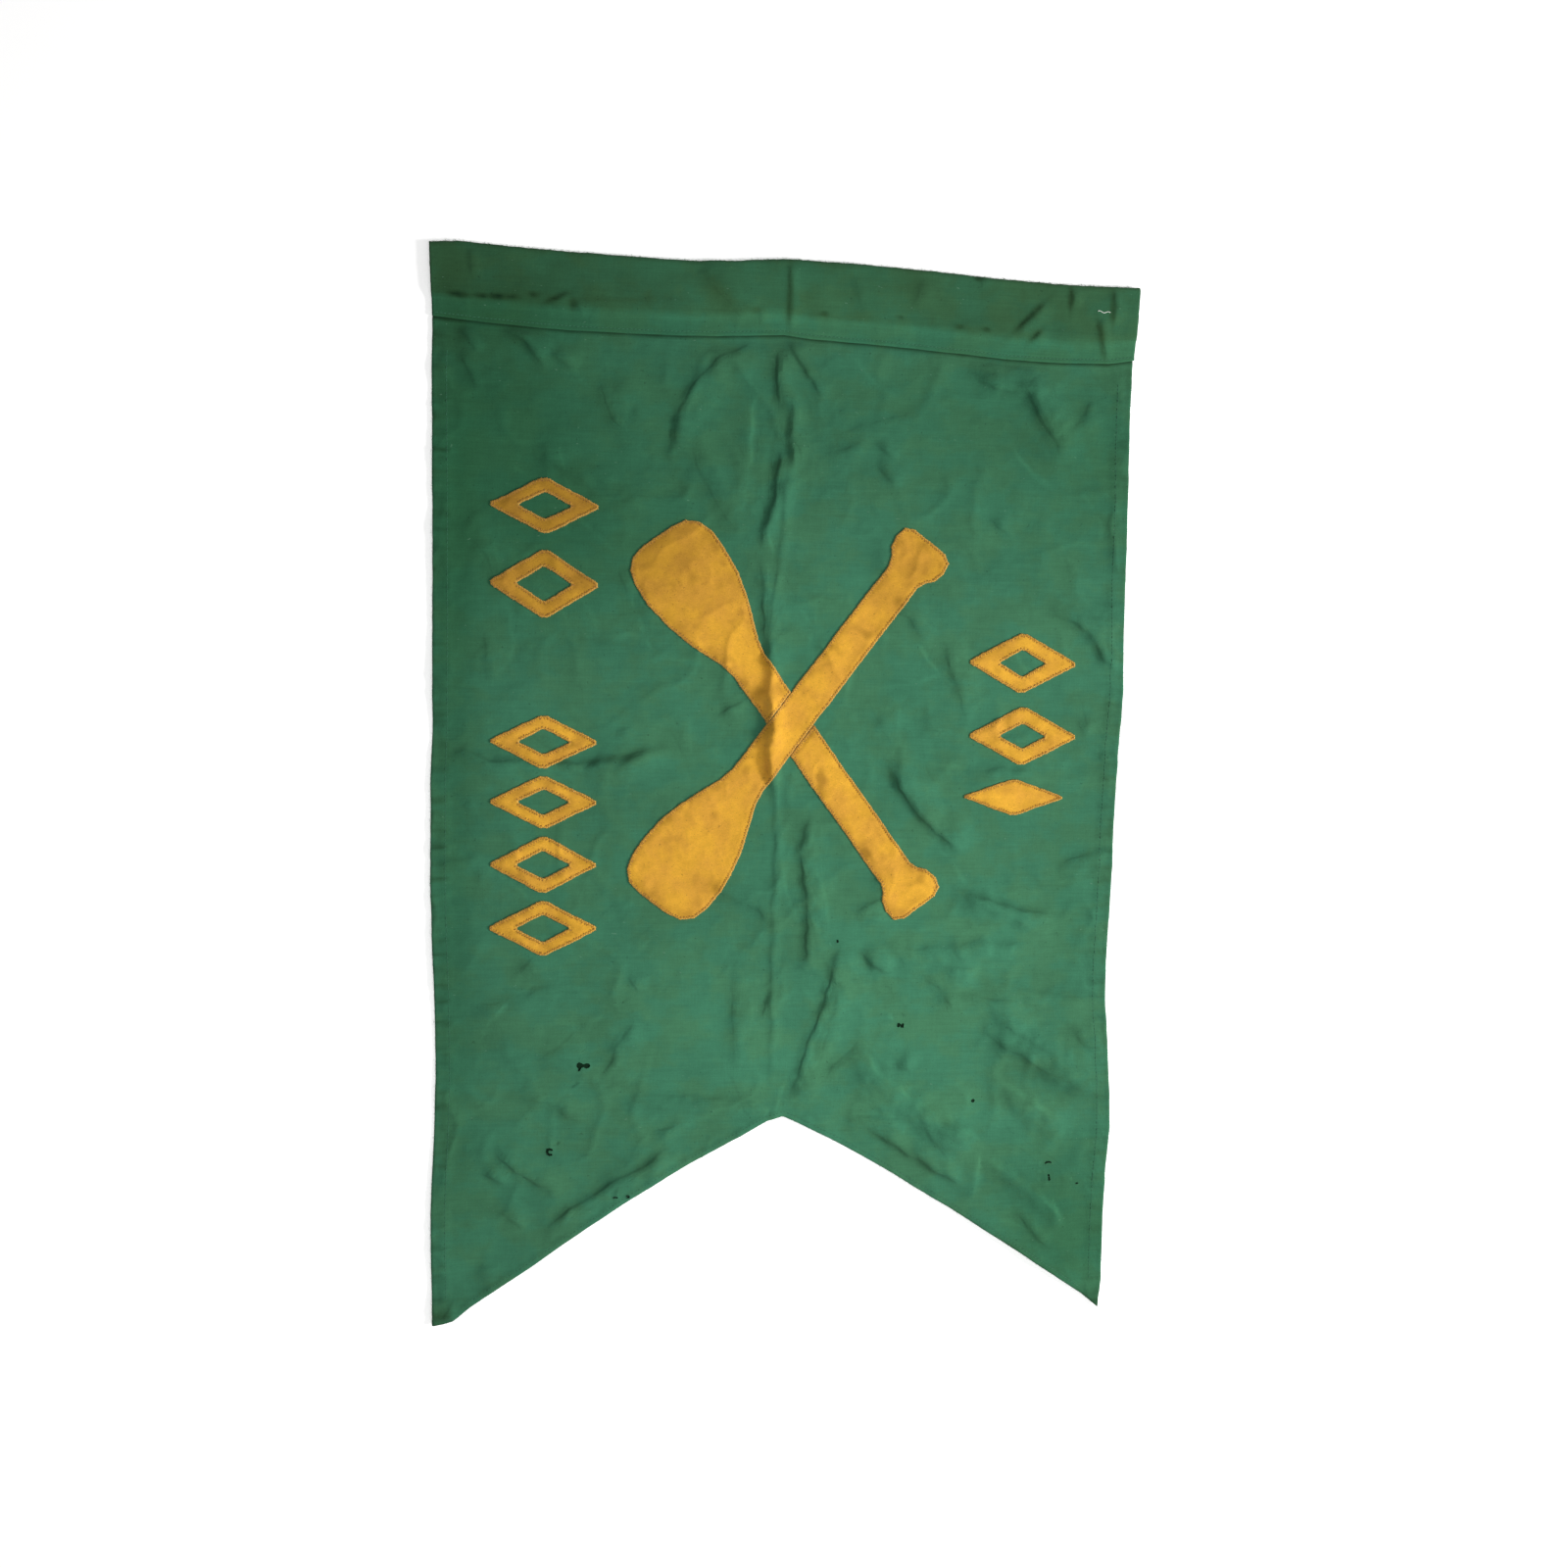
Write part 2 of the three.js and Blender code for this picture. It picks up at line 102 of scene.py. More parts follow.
# ------------------------------------------------------------- the creases --
# Each line is where the shaded flank of a fold runs: (height, width of the
# shaded flank, width of the lit flank, [(x, y), ...]). A negative height is a
# trough. The crest lies beside the line, towards the light.
OFF = np.array([1.25, 1.3])
CREASES = [
    # under the seam, upper left
    (0.7, 3.5, 9, [(-238, 333), (-221, 315)]),
    (0.9, 4, 10, [(-211, 334), (-191, 326), (-175, 307)]),
    (0.6, 3, 8, [(-174, 318), (-154, 307)]),
    (1.3, 9, 16, [(-141, 307), (-129, 274), (-108, 258)]),
    (1.15, 6.5, 15, [(-22, 334), (-54, 324), (-71, 304), (-81, 286), (-84, 276), (-85, 262), (-91, 250)]),
    (0.7, 3.0, 8, [(-82, 282), (-85, 270), (-87, 258), (-91, 247)]),
    (0.9, 9, 14, [(-79, 269), (-63, 235), (-48, 208), (-34, 195)]),
    (0.5, 4, 9, [(-123, 171), (-118, 150)]),
    (0.5, 2.5, 6, [(-236, 318), (-226, 300), (-222, 290)]),
    # the long centre fold
    (1.8, 5.0, 7, [(-13, 330), (-14, 310), (-10, 293), (-11, 279)]),
    (1.1, 3.2, 6, [(-3, 300), (-1, 252), (-1, 241)]),
    (1.7, 4.5, 7, [(-9, 262), (-12, 240), (-14, 222), (-19, 206), (-24, 186)]),
    (0.5, 2.0, 5, [(-7, 238), (-6, 203)]),
    (1.2, 5.5, 10, [(-22, 186), (-20, 150), (-17, 120), (-16, 89)]),
    (0.8, 4.5, 8, [(-51, 67), (-42, 73), (-30, 77)]),
    (0.5, 3, 6, [(-28, 82), (-6, 71)]),
    (0.9, 4.5, 8, [(-22, 49), (-6, 59)]),
    (1.5, 4.5, 9, [(-18, 92), (-14, 60), (-14, 42), (-13, 4)]),
    (1.6, 5.5, 12, [(20, 0), (13, -18), (12, -38), (15, -58), (19, -80), (17, -104), (15, -126)]),
    (1.9, 6.0, 14, [(43, -97), (37, -122), (32, -145), (23, -171), (16, -193), (9, -216), (6, -226)]),
    (-0.7, 9, 7, [(44, -128), (31, -190), (17, -212)]),
    (0.9, 3.2, 8, [(-8, 336), (3, 321), (15, 304), (21, 294)]),
    (0.6, 3, 6, [(-4, 270), (4, 262), (7, 250)]),
    (0.42, 2.6, 3.8, [(-8, 334), (-3, 250), (-7, 200), (-15, 120), (-12, 40), (-7, -30), (-9, -110), (-8, -200), (-1, -230)]),
    (0.8, 4.5, 8, [(-16, 120), (-16, 60), (-14, 10)]),
    (0.6, 9, 5, [(-28, 300), (-30, 250), (-34, 215)]),
    (0.5, 6, 10, [(-190, 250), (-150, 232), (-118, 226)]),
    (0.5, 6, 10, [(-60, -60), (-20, -75), (-4, -96)]),
    (0.6, 6, 11, [(70, -96), (100, -106), (150, -100), (200, -104)]),
    (0.6, 5, 10, [(110, -140), (150, -142), (190, -150)]),
    (0.55, 6, 10, [(150, -128), (200, -140), (245, -146)]),
    (0.5, 6, 10, [(-230, -150), (-190, -140), (-160, -128)]),
    (0.6, 7, 10, [(-210, -215), (-170, -222), (-140, -240)]),
    (0.5, 6, 10, [(60, 150), (90, 140), (104, 120)]),
    (0.5, 7, 12, [(-240, 200), (-215, 175), (-205, 140)]),
    # upper right
    (1.5, 6.5, 14, [(122, 317), (148, 309), (170, 305), (182, 291), (194, 274), (203, 257)]),
    (0.6, 4, 9, [(170, 312), (184, 322)]),
    (0.8, 4.5, 9, [(219, 307), (214, 289), (206, 282)]),
    (0.6, 5, 10, [(22, 256), (58, 270)]),
    (0.5, 3.5, 6, [(60, 268), (69, 258), (80, 256)]),
    (0.5, 4, 7, [(58, 251), (73, 239), (88, 241)]),
    (0.5, 5, 9, [(144, 215), (166, 201)]),
    (1.0, 4.5, 12, [(191, 148), (210, 141), (226, 134), (238, 113), (250, 102)]),
    (0.5, 7, 12, [(96, 291), (58, 282), (30, 270)]),
    # middle left
    (0.5, 4, 9, [(-218, 126), (-217, 85)]),
    (1.0, 4.0, 10, [(-250, 32), (-231, 39), (-214, 32), (-136, 31), (-116, 35), (-88, 43), (-81, 45)]),
    (0.7, 5.5, 10, [(-150, 29), (-120, 33), (-95, 40)]),
    (0.5, 4, 8, [(-127, 55), (-109, 59)]),
    (0.5, 4, 8, [(-234, 0), (-226, 4)]),
    (0.7, 3.5, 8, [(-252, -42), (-228, -39), (-221, -32)]),
    (0.5, 3.5, 7, [(-224, -60), (-221, -42)]),
    (0.6, 6, 12, [(-107, 155), (-114, 128)]),
    # middle right
    (0.9, 6, 12, [(115, 128), (121, 106), (128, 81), (134, 67)]),
    (1.0, 11, 16, [(59, 80), (79, 44)]),
    (1.8, 5.5, 15, [(71, 40), (83, 18), (99, -4), (114, -18), (129, -29), (143, -37)]),
    (1.0, 4.0, 11, [(130, -60), (149, -66), (169, -72), (196, -78), (211, -83)]),
    (0.7, 4, 8, [(218, 66), (229, 54)]),
    (0.8, 4, 10, [(206, -44), (221, -35), (248, -32)]),
    (0.6, 4, 9, [(63, -55), (81, -52)]),
    (0.8, 4, 10, [(52, -78), (78, -67)]),
    (0.6, 5, 9, [(140, 28), (160, 31), (196, 30)]),
    # lower right
    (1.0, 4, 11, [(57, -107), (68, -119), (83, -126)]),
    (0.6, 4, 9, [(121, -119), (151, -121)]),
    (0.7, 5, 12, [(106, -126), (118, -134), (130, -153)]),
    (-1.0, 10, 7, [(63, -172), (45, -192), (28, -212)]),
    (1.7, 15, 7.5, [(58, -178), (73, -196), (95, -216), (126, -237), (165, -258)]),
    (0.6, 4, 9, [(87, -194), (101, -202)]),
    (1.1, 9, 18, [(149, -166), (169, -180), (200, -199), (232, -215), (252, -220)]),
    (0.45, 4, 9, [(160, -160), (186, -175), (212, -190)]),
    (0.9, 12, 6, [(165, -205), (199, -226), (231, -249)]),
    (0.5, 4.5, 9, [(221, -165), (235, -181), (250, -185)]),
    (0.5, 4, 9, [(49, -232), (102, -238)]),
    (0.9, 4, 10, [(64, -243), (83, -255), (110, -271), (134, -287), (146, -295)]),
    (1.0, 11, 15, [(109, -240), (133, -272)]),
    (0.6, 7, 3, [(156, -262), (155, -282), (152, -302)]),
    (0.9, 9, 2.6, [(156, -267), (180, -280), (200, -294), (216, -309), (225, -328)]),
    (0.8, 5, 9, [(184, -310), (196, -328), (214, -343)]),
    # lower left
    (0.7, 5, 10, [(-192, -125), (-182, -110)]),
    (1.2, 10, 16, [(-182, -191), (-150, -165)]),
    (1.0, 6, 12, [(-135, -206), (-125, -188), (-114, -166), (-107, -158)]),
    (0.6, 4, 9, [(-115, -125), (-104, -140)]),
    (0.8, 9, 11, [(-37, -118), (-36, -204)]),
    (0.7, 4, 9, [(-16, -159), (-6, -133)]),
    (0.45, 4, 9, [(-114, -214), (-70, -217), (-19, -221), (-7, -225), (-1, -231)]),
    (1.6, 5, 12, [(-177, -317), (-156, -302), (-142, -292), (-120, -279), (-98, -266), (-73, -252)]),
    (0.6, 4.5, 9, [(-99, -244), (-70, -237)]),
    (0.9, 4.5, 9, [(-213, -256), (-192, -272), (-170, -287), (-167, -295)]),
    (0.6, 3.5, 7, [(-220, -271), (-199, -283)]),
    (0.7, 4, 8, [(-206, -301), (-188, -317)]),
    (0.5, 3.5, 7, [(-227, -345), (-206, -342)]),
    (1.0, 4, 6, [(-247, -382), (-238, -364)]),
]
LIFTS = [(5.4, 199, -356, 46, 17, -35), (2.0, -246, -380, 14, 14, 0), (1.6, 150, -330, 60, 22, -35),
         (1.1, 120, -60, 60, 45, 20), (1.0, -120, 240, 55, 70, 30), (0.9, 60, 250, 70, 50, 0),
         (0.9, -150, -120, 80, 40, 10), (1.2, 190, -230, 60, 40, -30), (0.8, -60, -180, 40, 60, 0)]


def soft(t):
    t = np.clip(t, 0, 1)
    return t * t * (3 - 2 * t)


_grads = {}


def noise(x, y, size, seed, turn=0.0):
    """Smooth noise from about -1 to 1, one swell in every `size` mm."""
    if seed not in _grads:
        a = np.random.default_rng(seed).uniform(0, 2 * math.pi, (128, 128))
        _grads[seed] = (np.cos(a), np.sin(a))
    gx, gy = _grads[seed]
    c, s = math.cos(turn), math.sin(turn)
    u, v = (x * c - y * s) / size + 57.3, (x * s + y * c) / size + 31.7
    i, j = np.floor(u).astype(int), np.floor(v).astype(int)
    fx, fy = u - i, v - j
    wx, wy = fx ** 3 * (fx * (fx * 6 - 15) + 10), fy ** 3 * (fy * (fy * 6 - 15) + 10)

    def dot(a, b):
        return gx[(j + b) % 128, (i + a) % 128] * (fx - a) + gy[(j + b) % 128, (i + a) % 128] * (fy - b)

    low = dot(0, 0) * (1 - wx) + dot(1, 0) * wx
    high = dot(0, 1) * (1 - wx) + dot(1, 1) * wx
    return (low * (1 - wy) + high * wy) * 1.6


def line_field(x, y, line, reach):
    """Signed distance to a line (positive to the lit side), and how far along."""
    pts = np.array(line, float) - OFF
    flat = np.full(x.shape, 1e9)
    side, at = np.zeros(x.shape), np.zeros(x.shape)
    chord = pts[-1] - pts[0]
    lit = 1.0 if -chord[1] * LIGHT[0] + chord[0] * LIGHT[1] > 0 else -1.0
    run = 0.0
    for (ax, ay), (bx, by) in zip(pts[:-1], pts[1:]):
        dx, dy = bx - ax, by - ay
        n = math.hypot(dx, dy)
        t = np.clip(((x - ax) * dx + (y - ay) * dy) / (n * n), 0, 1)
        ex, ey = x - ax - t * dx, y - ay - t * dy
        d = np.hypot(ex, ey)
        near = d < flat
        flat = np.where(near, d, flat)
        side = np.where(near, np.sign(dx * (y - ay) - dy * (x - ax)) * lit, side)
        at = np.where(near, run + t * n, at)
        run += n
    return flat * side, at, run


def folds(x, y):
    z = np.zeros(x.shape)
    wob = noise(x, y, 18, 91) * 2.0 + noise(x, y, 7, 92) * 0.8
    for k, (height, shaded, lit, line) in enumerate(CREASES):
        pts = np.array(line, float) - OFF
        reach = 3.2 * max(shaded, lit)
        box = ((x > pts[:, 0].min() - reach) & (x < pts[:, 0].max() + reach)
               & (y > pts[:, 1].min() - reach) & (y < pts[:, 1].max() + reach))
        if not box.any():
            continue
        bx, by = x[box], y[box]
        d, at, run = line_field(bx, by, line, reach)
        narrow = min(shaded, lit)
        c = d + wob[box] * min(1.0, 0.45 + narrow / 8) - (0.7 * shaded if shaded <= lit else -0.7 * lit)
        w = np.where(c > 0, lit, shaded)
        ends = np.clip(0.08 + np.minimum(at, run - at) / (2.2 * narrow + 0.15 * run), 0, 1)
        lump = 1 + 0.30 * noise(bx, by, 19, 40 + k) + 0.16 * noise(bx, by, 7, 140 + k)
        rise = math.copysign(min(abs(height), 1.2) * 2.4 + max(abs(height) - 1.2, 0) * 1.2, height)
        chord = (pts[-1] - pts[0]) / np.hypot(*(pts[-1] - pts[0]))
        across = abs(-chord[1] * LIGHT[0] + chord[0] * LIGHT[1])
        rise *= min(max(0.62 / (across + 0.05), 1.0), 1.9)
        z[box] += rise * soft(ends) * lump * np.exp(-(np.abs(c) / w) ** 2)
    for height, cx, cy, long, across, angle in LIFTS:
        a = math.radians(angle)
        dx, dy = x - cx, y - cy
        u, v = (dx * math.cos(a) + dy * math.sin(a)) / long, (dy * math.cos(a) - dx * math.sin(a)) / across
        z += height * np.exp(-(u * u + v * v))
    return z


def fine_lines():
    """Short faint creases all over the cloth, each region with its own lie."""
    r = np.random.default_rng(31)
    out = []
    while len(out) < 120:
        x, y = r.uniform(-245, 245), r.uniform(-340, 325)
        if y < fork_at(x) + 12:
            continue
        if abs(x) < 50:
            a = r.normal(-82, 14)
        elif y < -60:
            a = r.normal(-35, 13) if x > 0 else r.normal(30, 15)
        elif y > 230:
            a = r.normal(-38, 22)
        else:
            a = r.choice([r.normal(4, 12), r.normal(-30, 20), r.normal(-78, 15)])
        long, bend = r.uniform(12, 38), r.normal(0, 0.2)
        pts = []
        for t in (-1, -0.33, 0.33, 1):
            b = math.radians(a) + bend * t
            pts.append((x + math.cos(b) * long * t, y + math.sin(b) * long * t))
        out.append((r.uniform(0.16, 0.46), 3, 6, pts) if r.random() < 0.55 else (r.uniform(0.25, 0.6), 6, 3, pts))
    return out


def creasing(x, y, table, gentle=1.0):
    """Signed distance to the nearest pressed line, and how hard it is pressed."""
    wob = noise(x, y, 18, 91) * 2.0 + noise(x, y, 7, 92) * 0.8
    d1, d2, s1 = np.full(x.shape, 40.0), np.full(x.shape, 40.0), np.zeros(x.shape)
    for k, (height, shaded, lit, line) in enumerate(table):
        pts = np.array(line, float) - OFF
        box = np.flatnonzero((x > pts[:, 0].min() - 9) & (x < pts[:, 0].max() + 9)
                             & (y > pts[:, 1].min() - 9) & (y < pts[:, 1].max() + 9))
        if not len(box):
            continue
        bx, by = x[box], y[box]
        d, at, run = line_field(bx, by, line, 9)
        c = d + wob[box] * min(1.0, 0.45 + min(shaded, lit) / 8)
        ends = soft(np.minimum(at, run - at) / (0.24 * run))
        s = gentle * min(abs(height), 1.5) * ends * np.clip(0.8 + 0.7 * noise(bx, by, 16, 240 + k % 60), 0.15, 1.3)
        s = s * (-1 if (shaded > lit) != (height < 0) else 1) * min(1.0, 5.5 / min(shaded, lit))
        live = np.abs(s) > 0.02
        box, c, s = box[live], c[live], s[live]
        first = np.abs(c) < np.abs(d1[box])
        d2[box] = np.where(first, np.abs(d1[box]), np.minimum(d2[box], np.abs(c)))
        s1[box] = np.where(first, s, s1[box])
        d1[box] = np.where(first, c, d1[box])
    clear = soft((d2 - np.abs(d1)) / 4) * soft((7 - np.abs(d1)) / 3.2)
    return np.clip(d1, -12, 12), s1 * clear


# The holes that have worn through the face: loops of points.
HOLES = [
    [(-151, -190.6), (-149.4, -189.4), (-147, -190.2), (-145.6, -191.2), (-143, -190.4), (-140.6, -190.8),
     (-139.6, -192.6), (-141, -194.6), (-143.4, -195.2), (-145.2, -193.8), (-147.2, -194.6), (-148.8, -197.4),
     (-150.4, -197.8), (-150, -195.2), (-151.8, -193)],
    [(-172.6, -254.4), (-170, -253.6), (-167.6, -254.6), (-167, -256.4), (-168.8, -256.2), (-170.4, -256),
     (-170.8, -257.6), (-169.6, -258.8), (-167.4, -259), (-167.6, -260.6), (-170.2, -261), (-172.4, -259.6),
     (-173.2, -257)],
    [(-123.8, -291.4), (-121, -291), (-118.8, -291.7), (-119.2, -292.6), (-121.4, -292.5), (-123.6, -292.8)],
    [(-113.8, -290.8), (-111.4, -290.2), (-110.2, -291.8), (-111, -293.4), (-113.4, -293.2)],
    [(88.2, -162.8), (90, -162.6), (91.2, -164), (93, -162.8), (94.4, -163.6), (93.8, -165.6), (94.2, -167),
     (92, -167), (90.8, -165.8), (89, -166.8), (87.8, -165.4)],
    [(147.4, -222.6), (149.6, -222.2), (151, -223.6), (150, -225.4), (148, -225.2), (147.2, -224.2)],
    [(206.8, -273.6), (208.4, -272.4), (211.2, -272.2), (213.4, -273.6), (213.2, -274.6), (211, -274),
     (209, -274.4), (207.4, -275.2)],
    [(210.2, -282.6), (211.8, -282.8), (212.4, -285.2), (213, -288), (212.2, -289.4), (211, -288.6), (210.6, -286)],
    [(232.2, -290.4), (234.4, -290), (235.8, -290.8), (234.6, -291.6), (232.6, -291.6)],
    [(40, -98.8), (41.6, -98.6), (42.4, -100), (41.6, -101.6), (40.2, -101.2)],
]


def edge_room(x, y):
    """Distance in from the side edges and from the fork edge."""
    side = np.minimum(x - left_at(y), right_at(y) - x)
    grade = (fork_at(x + 2) - fork_at(x - 2)) / 4
    fork = (y - fork_at(x)) / np.sqrt(1 + grade * grade)
    return side, fork


def under(x, y):
    """Underside of the body cloth."""
    side, fork = edge_room(x, y)
    v = seam_at(x) - y
    z = folds(x, y)
    z += 1.1 * (0.3 + noise(x, y, 95, 7)) + 0.80 * (0.3 + noise(x, y, 46, 8, 0.6))
    z += 0.42 * (0.3 + noise(x, y, 23, 9, 1.1)) + 0.22 * (0.3 + noise(x * 0.6, y, 13, 19, 0.5))
    ridge = 1 - np.abs(noise(x, y, 38, 12, 0.9))
    z += 1.3 * ridge ** 5 * soft(0.5 + noise(x, y, 75, 13))
    ridge = 1 - np.abs(noise(x, y, 17, 14, 0.3))
    z += 0.42 * ridge ** 6 * soft(0.45 + noise(x, y, 60, 15))
    z += 0.075 * noise(x, y, 8.5, 16) + 0.022 * noise(x, y, 4, 17)
    # puckers drawn up by the hem stitching
    hem = soft((19 - side) / 9) * soft(side / 2.5 + 0.25)
    pull = np.clip(noise(y * 1.0, side * 0.16, 5.6, 21) + 0.25, 0, 2) + 0.5 * np.clip(noise(y, side * 0.25, 3.1, 22), 0, 2)
    z += hem * pull * 0.95 * (0.6 + 0.6 * soft(0.5 + noise(x * 0 + 3, y, 60, 23)))
    low = soft((11 - fork) / 6) * soft(fork / 2 + 0.3)
    z += low * 0.45 * np.clip(noise(x, fork * 0.3, 6.5, 24) + 0.2, 0, 2)
    # small gathers along the sleeve seam
    z += soft((26 - v) / 18) * soft(v / 4) * 0.30 * np.clip(noise(x, v * 0.25, 9, 25) + 0.15, 0, 2)
    z = 0.5 * (z + np.sqrt(z * z + 0.09))          # it never sinks into what it lies on
    z = z * (1 - 0.94 * soft((8 - v) / 7))
    z = z + (SEAM_Z - 0.03) * soft((8 - v) / 7) + 0.03
    return z


def build_up(x, y):
    """Thickness of the body cloth, hems included."""
    side, fork = edge_room(x, y)
    t = np.full(x.shape, CLOTH)
    v = seam_at(x) - y
    free = soft(v / 3)
    w = HEM_W + 0.5 * noise(x * 0, y, 30, 31)
    t += free * HEM_UP * soft((w - side) / 7.5 + 0.5) - free * 0.04 * np.exp(-((side - w + 1.7) / 1.2) ** 2)
    t += free * 0.14 * np.exp(-((side - 1.6) / 1.5) ** 2)
    fw = 5.2
    t += HEM_UP * 0.9 * soft((fw - fork) / 2.2 + 0.5) - 0.14 * np.exp(-((fork - fw + 1.5) / 0.8) ** 2)
    rim = np.clip(np.minimum(side, fork), 0, 3)
    t -= 0.55 * np.clip(1 - rim / 1.0, 0, 1) ** 2
    return t


def top(x, y):
    return under(x, y) + build_up(x, y)


# ------------------------------------------------------------ mesh helpers --
def make_mesh(name, verts, faces, attrs=None, smooth=True):
    """verts in mm; faces as an (n, 3) or (n, 4) array, or a list of such."""
    groups = faces if isinstance(faces, list) else [faces]
    groups = [np.asarray(g, np.int64) for g in groups if len(g)]
    counts = np.concatenate([np.full(len(g), g.shape[1]) for g in groups])
    loops = np.concatenate([g.ravel() for g in groups]).astype(np.int32)
    me = bpy.data.meshes.new(name)
    me.vertices.add(len(verts))
    me.vertices.foreach_set("co", (np.asarray(verts, float) * MM).ravel())
    me.loops.add(len(loops))
    me.loops.foreach_set("vertex_index", loops)
    me.polygons.add(len(counts))
    starts = np.concatenate([[0], np.cumsum(counts)[:-1]]).astype(np.int32)
    me.polygons.foreach_set("loop_start", starts)
    for key, values in (attrs or {}).items():
        a = me.attributes.new(key, "FLOAT", "POINT")
        a.data.foreach_set("value", np.asarray(values, np.float32))
    me.update(calc_edges=True)
    me.validate()
    me.shade_smooth() if smooth else me.shade_flat()
    obj = bpy.data.objects.new(name, me)
    scene.collection.objects.link(obj)
    return obj


def inside(px, py, loop):
    loop = np.asarray(loop, float)
    hit = np.zeros(px.shape, bool)
    x0, y0 = loop[:, 0], loop[:, 1]
    x1, y1 = np.roll(x0, -1), np.roll(y0, -1)
    for a, b, c, d in zip(x0, y0, x1, y1):
        if b == d:
            continue
        cross = ((b > py) != (d > py)) & (px < (c - a) * (py - b) / (d - b) + a)
        hit ^= cross
    return hit


def loop_distance(px, py, loop):
    loop = np.asarray(loop, float)
    best = np.full(px.shape, 1e9)
    for (ax, ay), (bx, by) in zip(loop, np.roll(loop, -1, 0)):
        dx, dy = bx - ax, by - ay
        n = dx * dx + dy * dy
        if n == 0:
            continue
        t = np.clip(((px - ax) * dx + (py - ay) * dy) / n, 0, 1)
        best = np.minimum(best, np.hypot(px - ax - t * dx, py - ay - t * dy))
    return best


def refine(loop, step, closed=True):
    """The loop with points about `step` apart; its corners stay."""
    out, pts = [], np.asarray(loop, float)
    nxt = np.roll(pts, -1, 0) if closed else pts[1:]
    for a, b in zip(pts if closed else pts[:-1], nxt):
        n = max(1, int(round(math.hypot(*(b - a)) / step)))
        for k in range(n):
            out.append(a + (b - a) * k / n)
    if not closed:
        out.append(pts[-1])
    return np.array(out)


def area_of(loop):
    p = np.asarray(loop, float)
    q = np.roll(p, -1, 0)
    return 0.5 * float(np.sum(p[:, 0] * q[:, 1] - q[:, 0] * p[:, 1]))


def ccw(loop):
    p = np.asarray(loop, float)
    return p if area_of(p) > 0 else p[::-1]


def cdt(points, loops):
    """Triangles of a plane region. points: (n, 2); loops: index lists, closed."""
    edges = [(l[k], l[(k + 1) % len(l)]) for l in loops for k in range(len(l))]
    verts, _, faces, orig, _, _ = delaunay_2d_cdt([Vector(p) for p in points.tolist()], edges, [], 0, 1e-7)
    back = np.array([o[0] if o else -1 for o in orig])
    xy = np.array([(v.x, v.y) for v in verts])
    return xy, np.array([f for f in faces if len(f) == 3], int), back


# ---------------------------------------------------------- the body cloth --
def spaced(a, b, step):
    n = max(1, int(round((b - a) / step)))
    return list(np.linspace(a, b, n + 1))[:-1]


cols = (spaced(-254, -252, 0.7) + spaced(-252, -238, 1.4) + spaced(-238, -40, 2.6) + spaced(-40, 56, 1.8)
        + spaced(56, 238, 2.55) + spaced(238, 252, 1.4) + spaced(252, 254, 0.7) + [254])
if len(cols) % 2 == 0:
    cols.insert(len(cols) // 2, 0.5 * (cols[len(cols) // 2 - 1] + cols[len(cols) // 2]))
S = (np.array(cols) + 254) / 508
seam_rows = [12, 8, 4, 1.5, 0.4, -0.6, -1.8, -3.2, -5, -7.2, -9.8, -12.8, -16]
fork_rows = [7, 6.2, 5.4, 4.7, 3.9, 3, 2, 1.1, 0.4, 0]
MAIN = 280
NJ = len(seam_rows) + MAIN + len(fork_rows) - 1
if NJ % 2 == 0:
    MAIN += 1
    NJ += 1
NI = len(S)
X = np.zeros((NJ, NI))
Y = np.zeros((NJ, NI))
X[:] = np.array(cols)
for _ in range(9):
    sy, fy = seam_at(X), fork_at(X)
    for j in range(NJ):
        if j < len(seam_rows):
            Y[j] = sy[j] + seam_rows[j]
        elif j >= NJ - len(fork_rows):
            Y[j] = fy[j] + fork_rows[j - (NJ - len(fork_rows))]
        else:
            t = (j - len(seam_rows) + 1) / (MAIN)
            Y[j] = (sy[j] - 16) * (1 - t) + (fy[j] + 7) * t
    L, R = left_at(Y), right_at(Y)
    X = L + (R - L) * S[None, :]
# a slightly uneven cut edge
wave = 0.22 * noise(Y, Y * 0, 23, 51) + 0.13 * noise(Y, Y * 0, 5, 52)
X[:, 0] += wave[:, 0]
X[:, -1] += wave[:, -1]

Z1 = top(X, Y)
grid_xyz = np.stack([X, Y, Z1], -1).reshape(-1, 3)


def gid(j, i):
    return j * NI + i


keep = np.ones((NJ - 1, NI - 1), bool)
extra_v, extra_f, pit_ids = [], [], []
next_id = NJ * NI
rng = np.random.default_rng(4)
windows = []
for raw in HOLES:
    loop = ccw(np.array(raw) - OFF)
    loop = refine(loop.mean(0) + (loop - loop.mean(0)) * 0.84, 0.6)
    loop = loop + rng.uniform(-0.14, 0.14, loop.shape)
    lo, hi = loop.min(0) - 2.6, loop.max(0) + 2.6
    jj, ii = np.nonzero((X > lo[0]) & (X < hi[0]) & (Y > lo[1]) & (Y < hi[1]))
    win = [max(jj.min() - 1, 1), min(jj.max() + 1, NJ - 2), max(ii.min() - 1, 1), min(ii.max() + 1, NI - 2), [loop]]
    for old in list(windows):
        if win[0] <= old[1] + 1 and old[0] <= win[1] + 1 and win[2] <= old[3] + 1 and old[2] <= win[3] + 1:
            windows.remove(old)
            win = [min(win[0], old[0]), max(win[1], old[1]), min(win[2], old[2]), max(win[3], old[3]), win[4] + old[4]]
    windows.append(win)
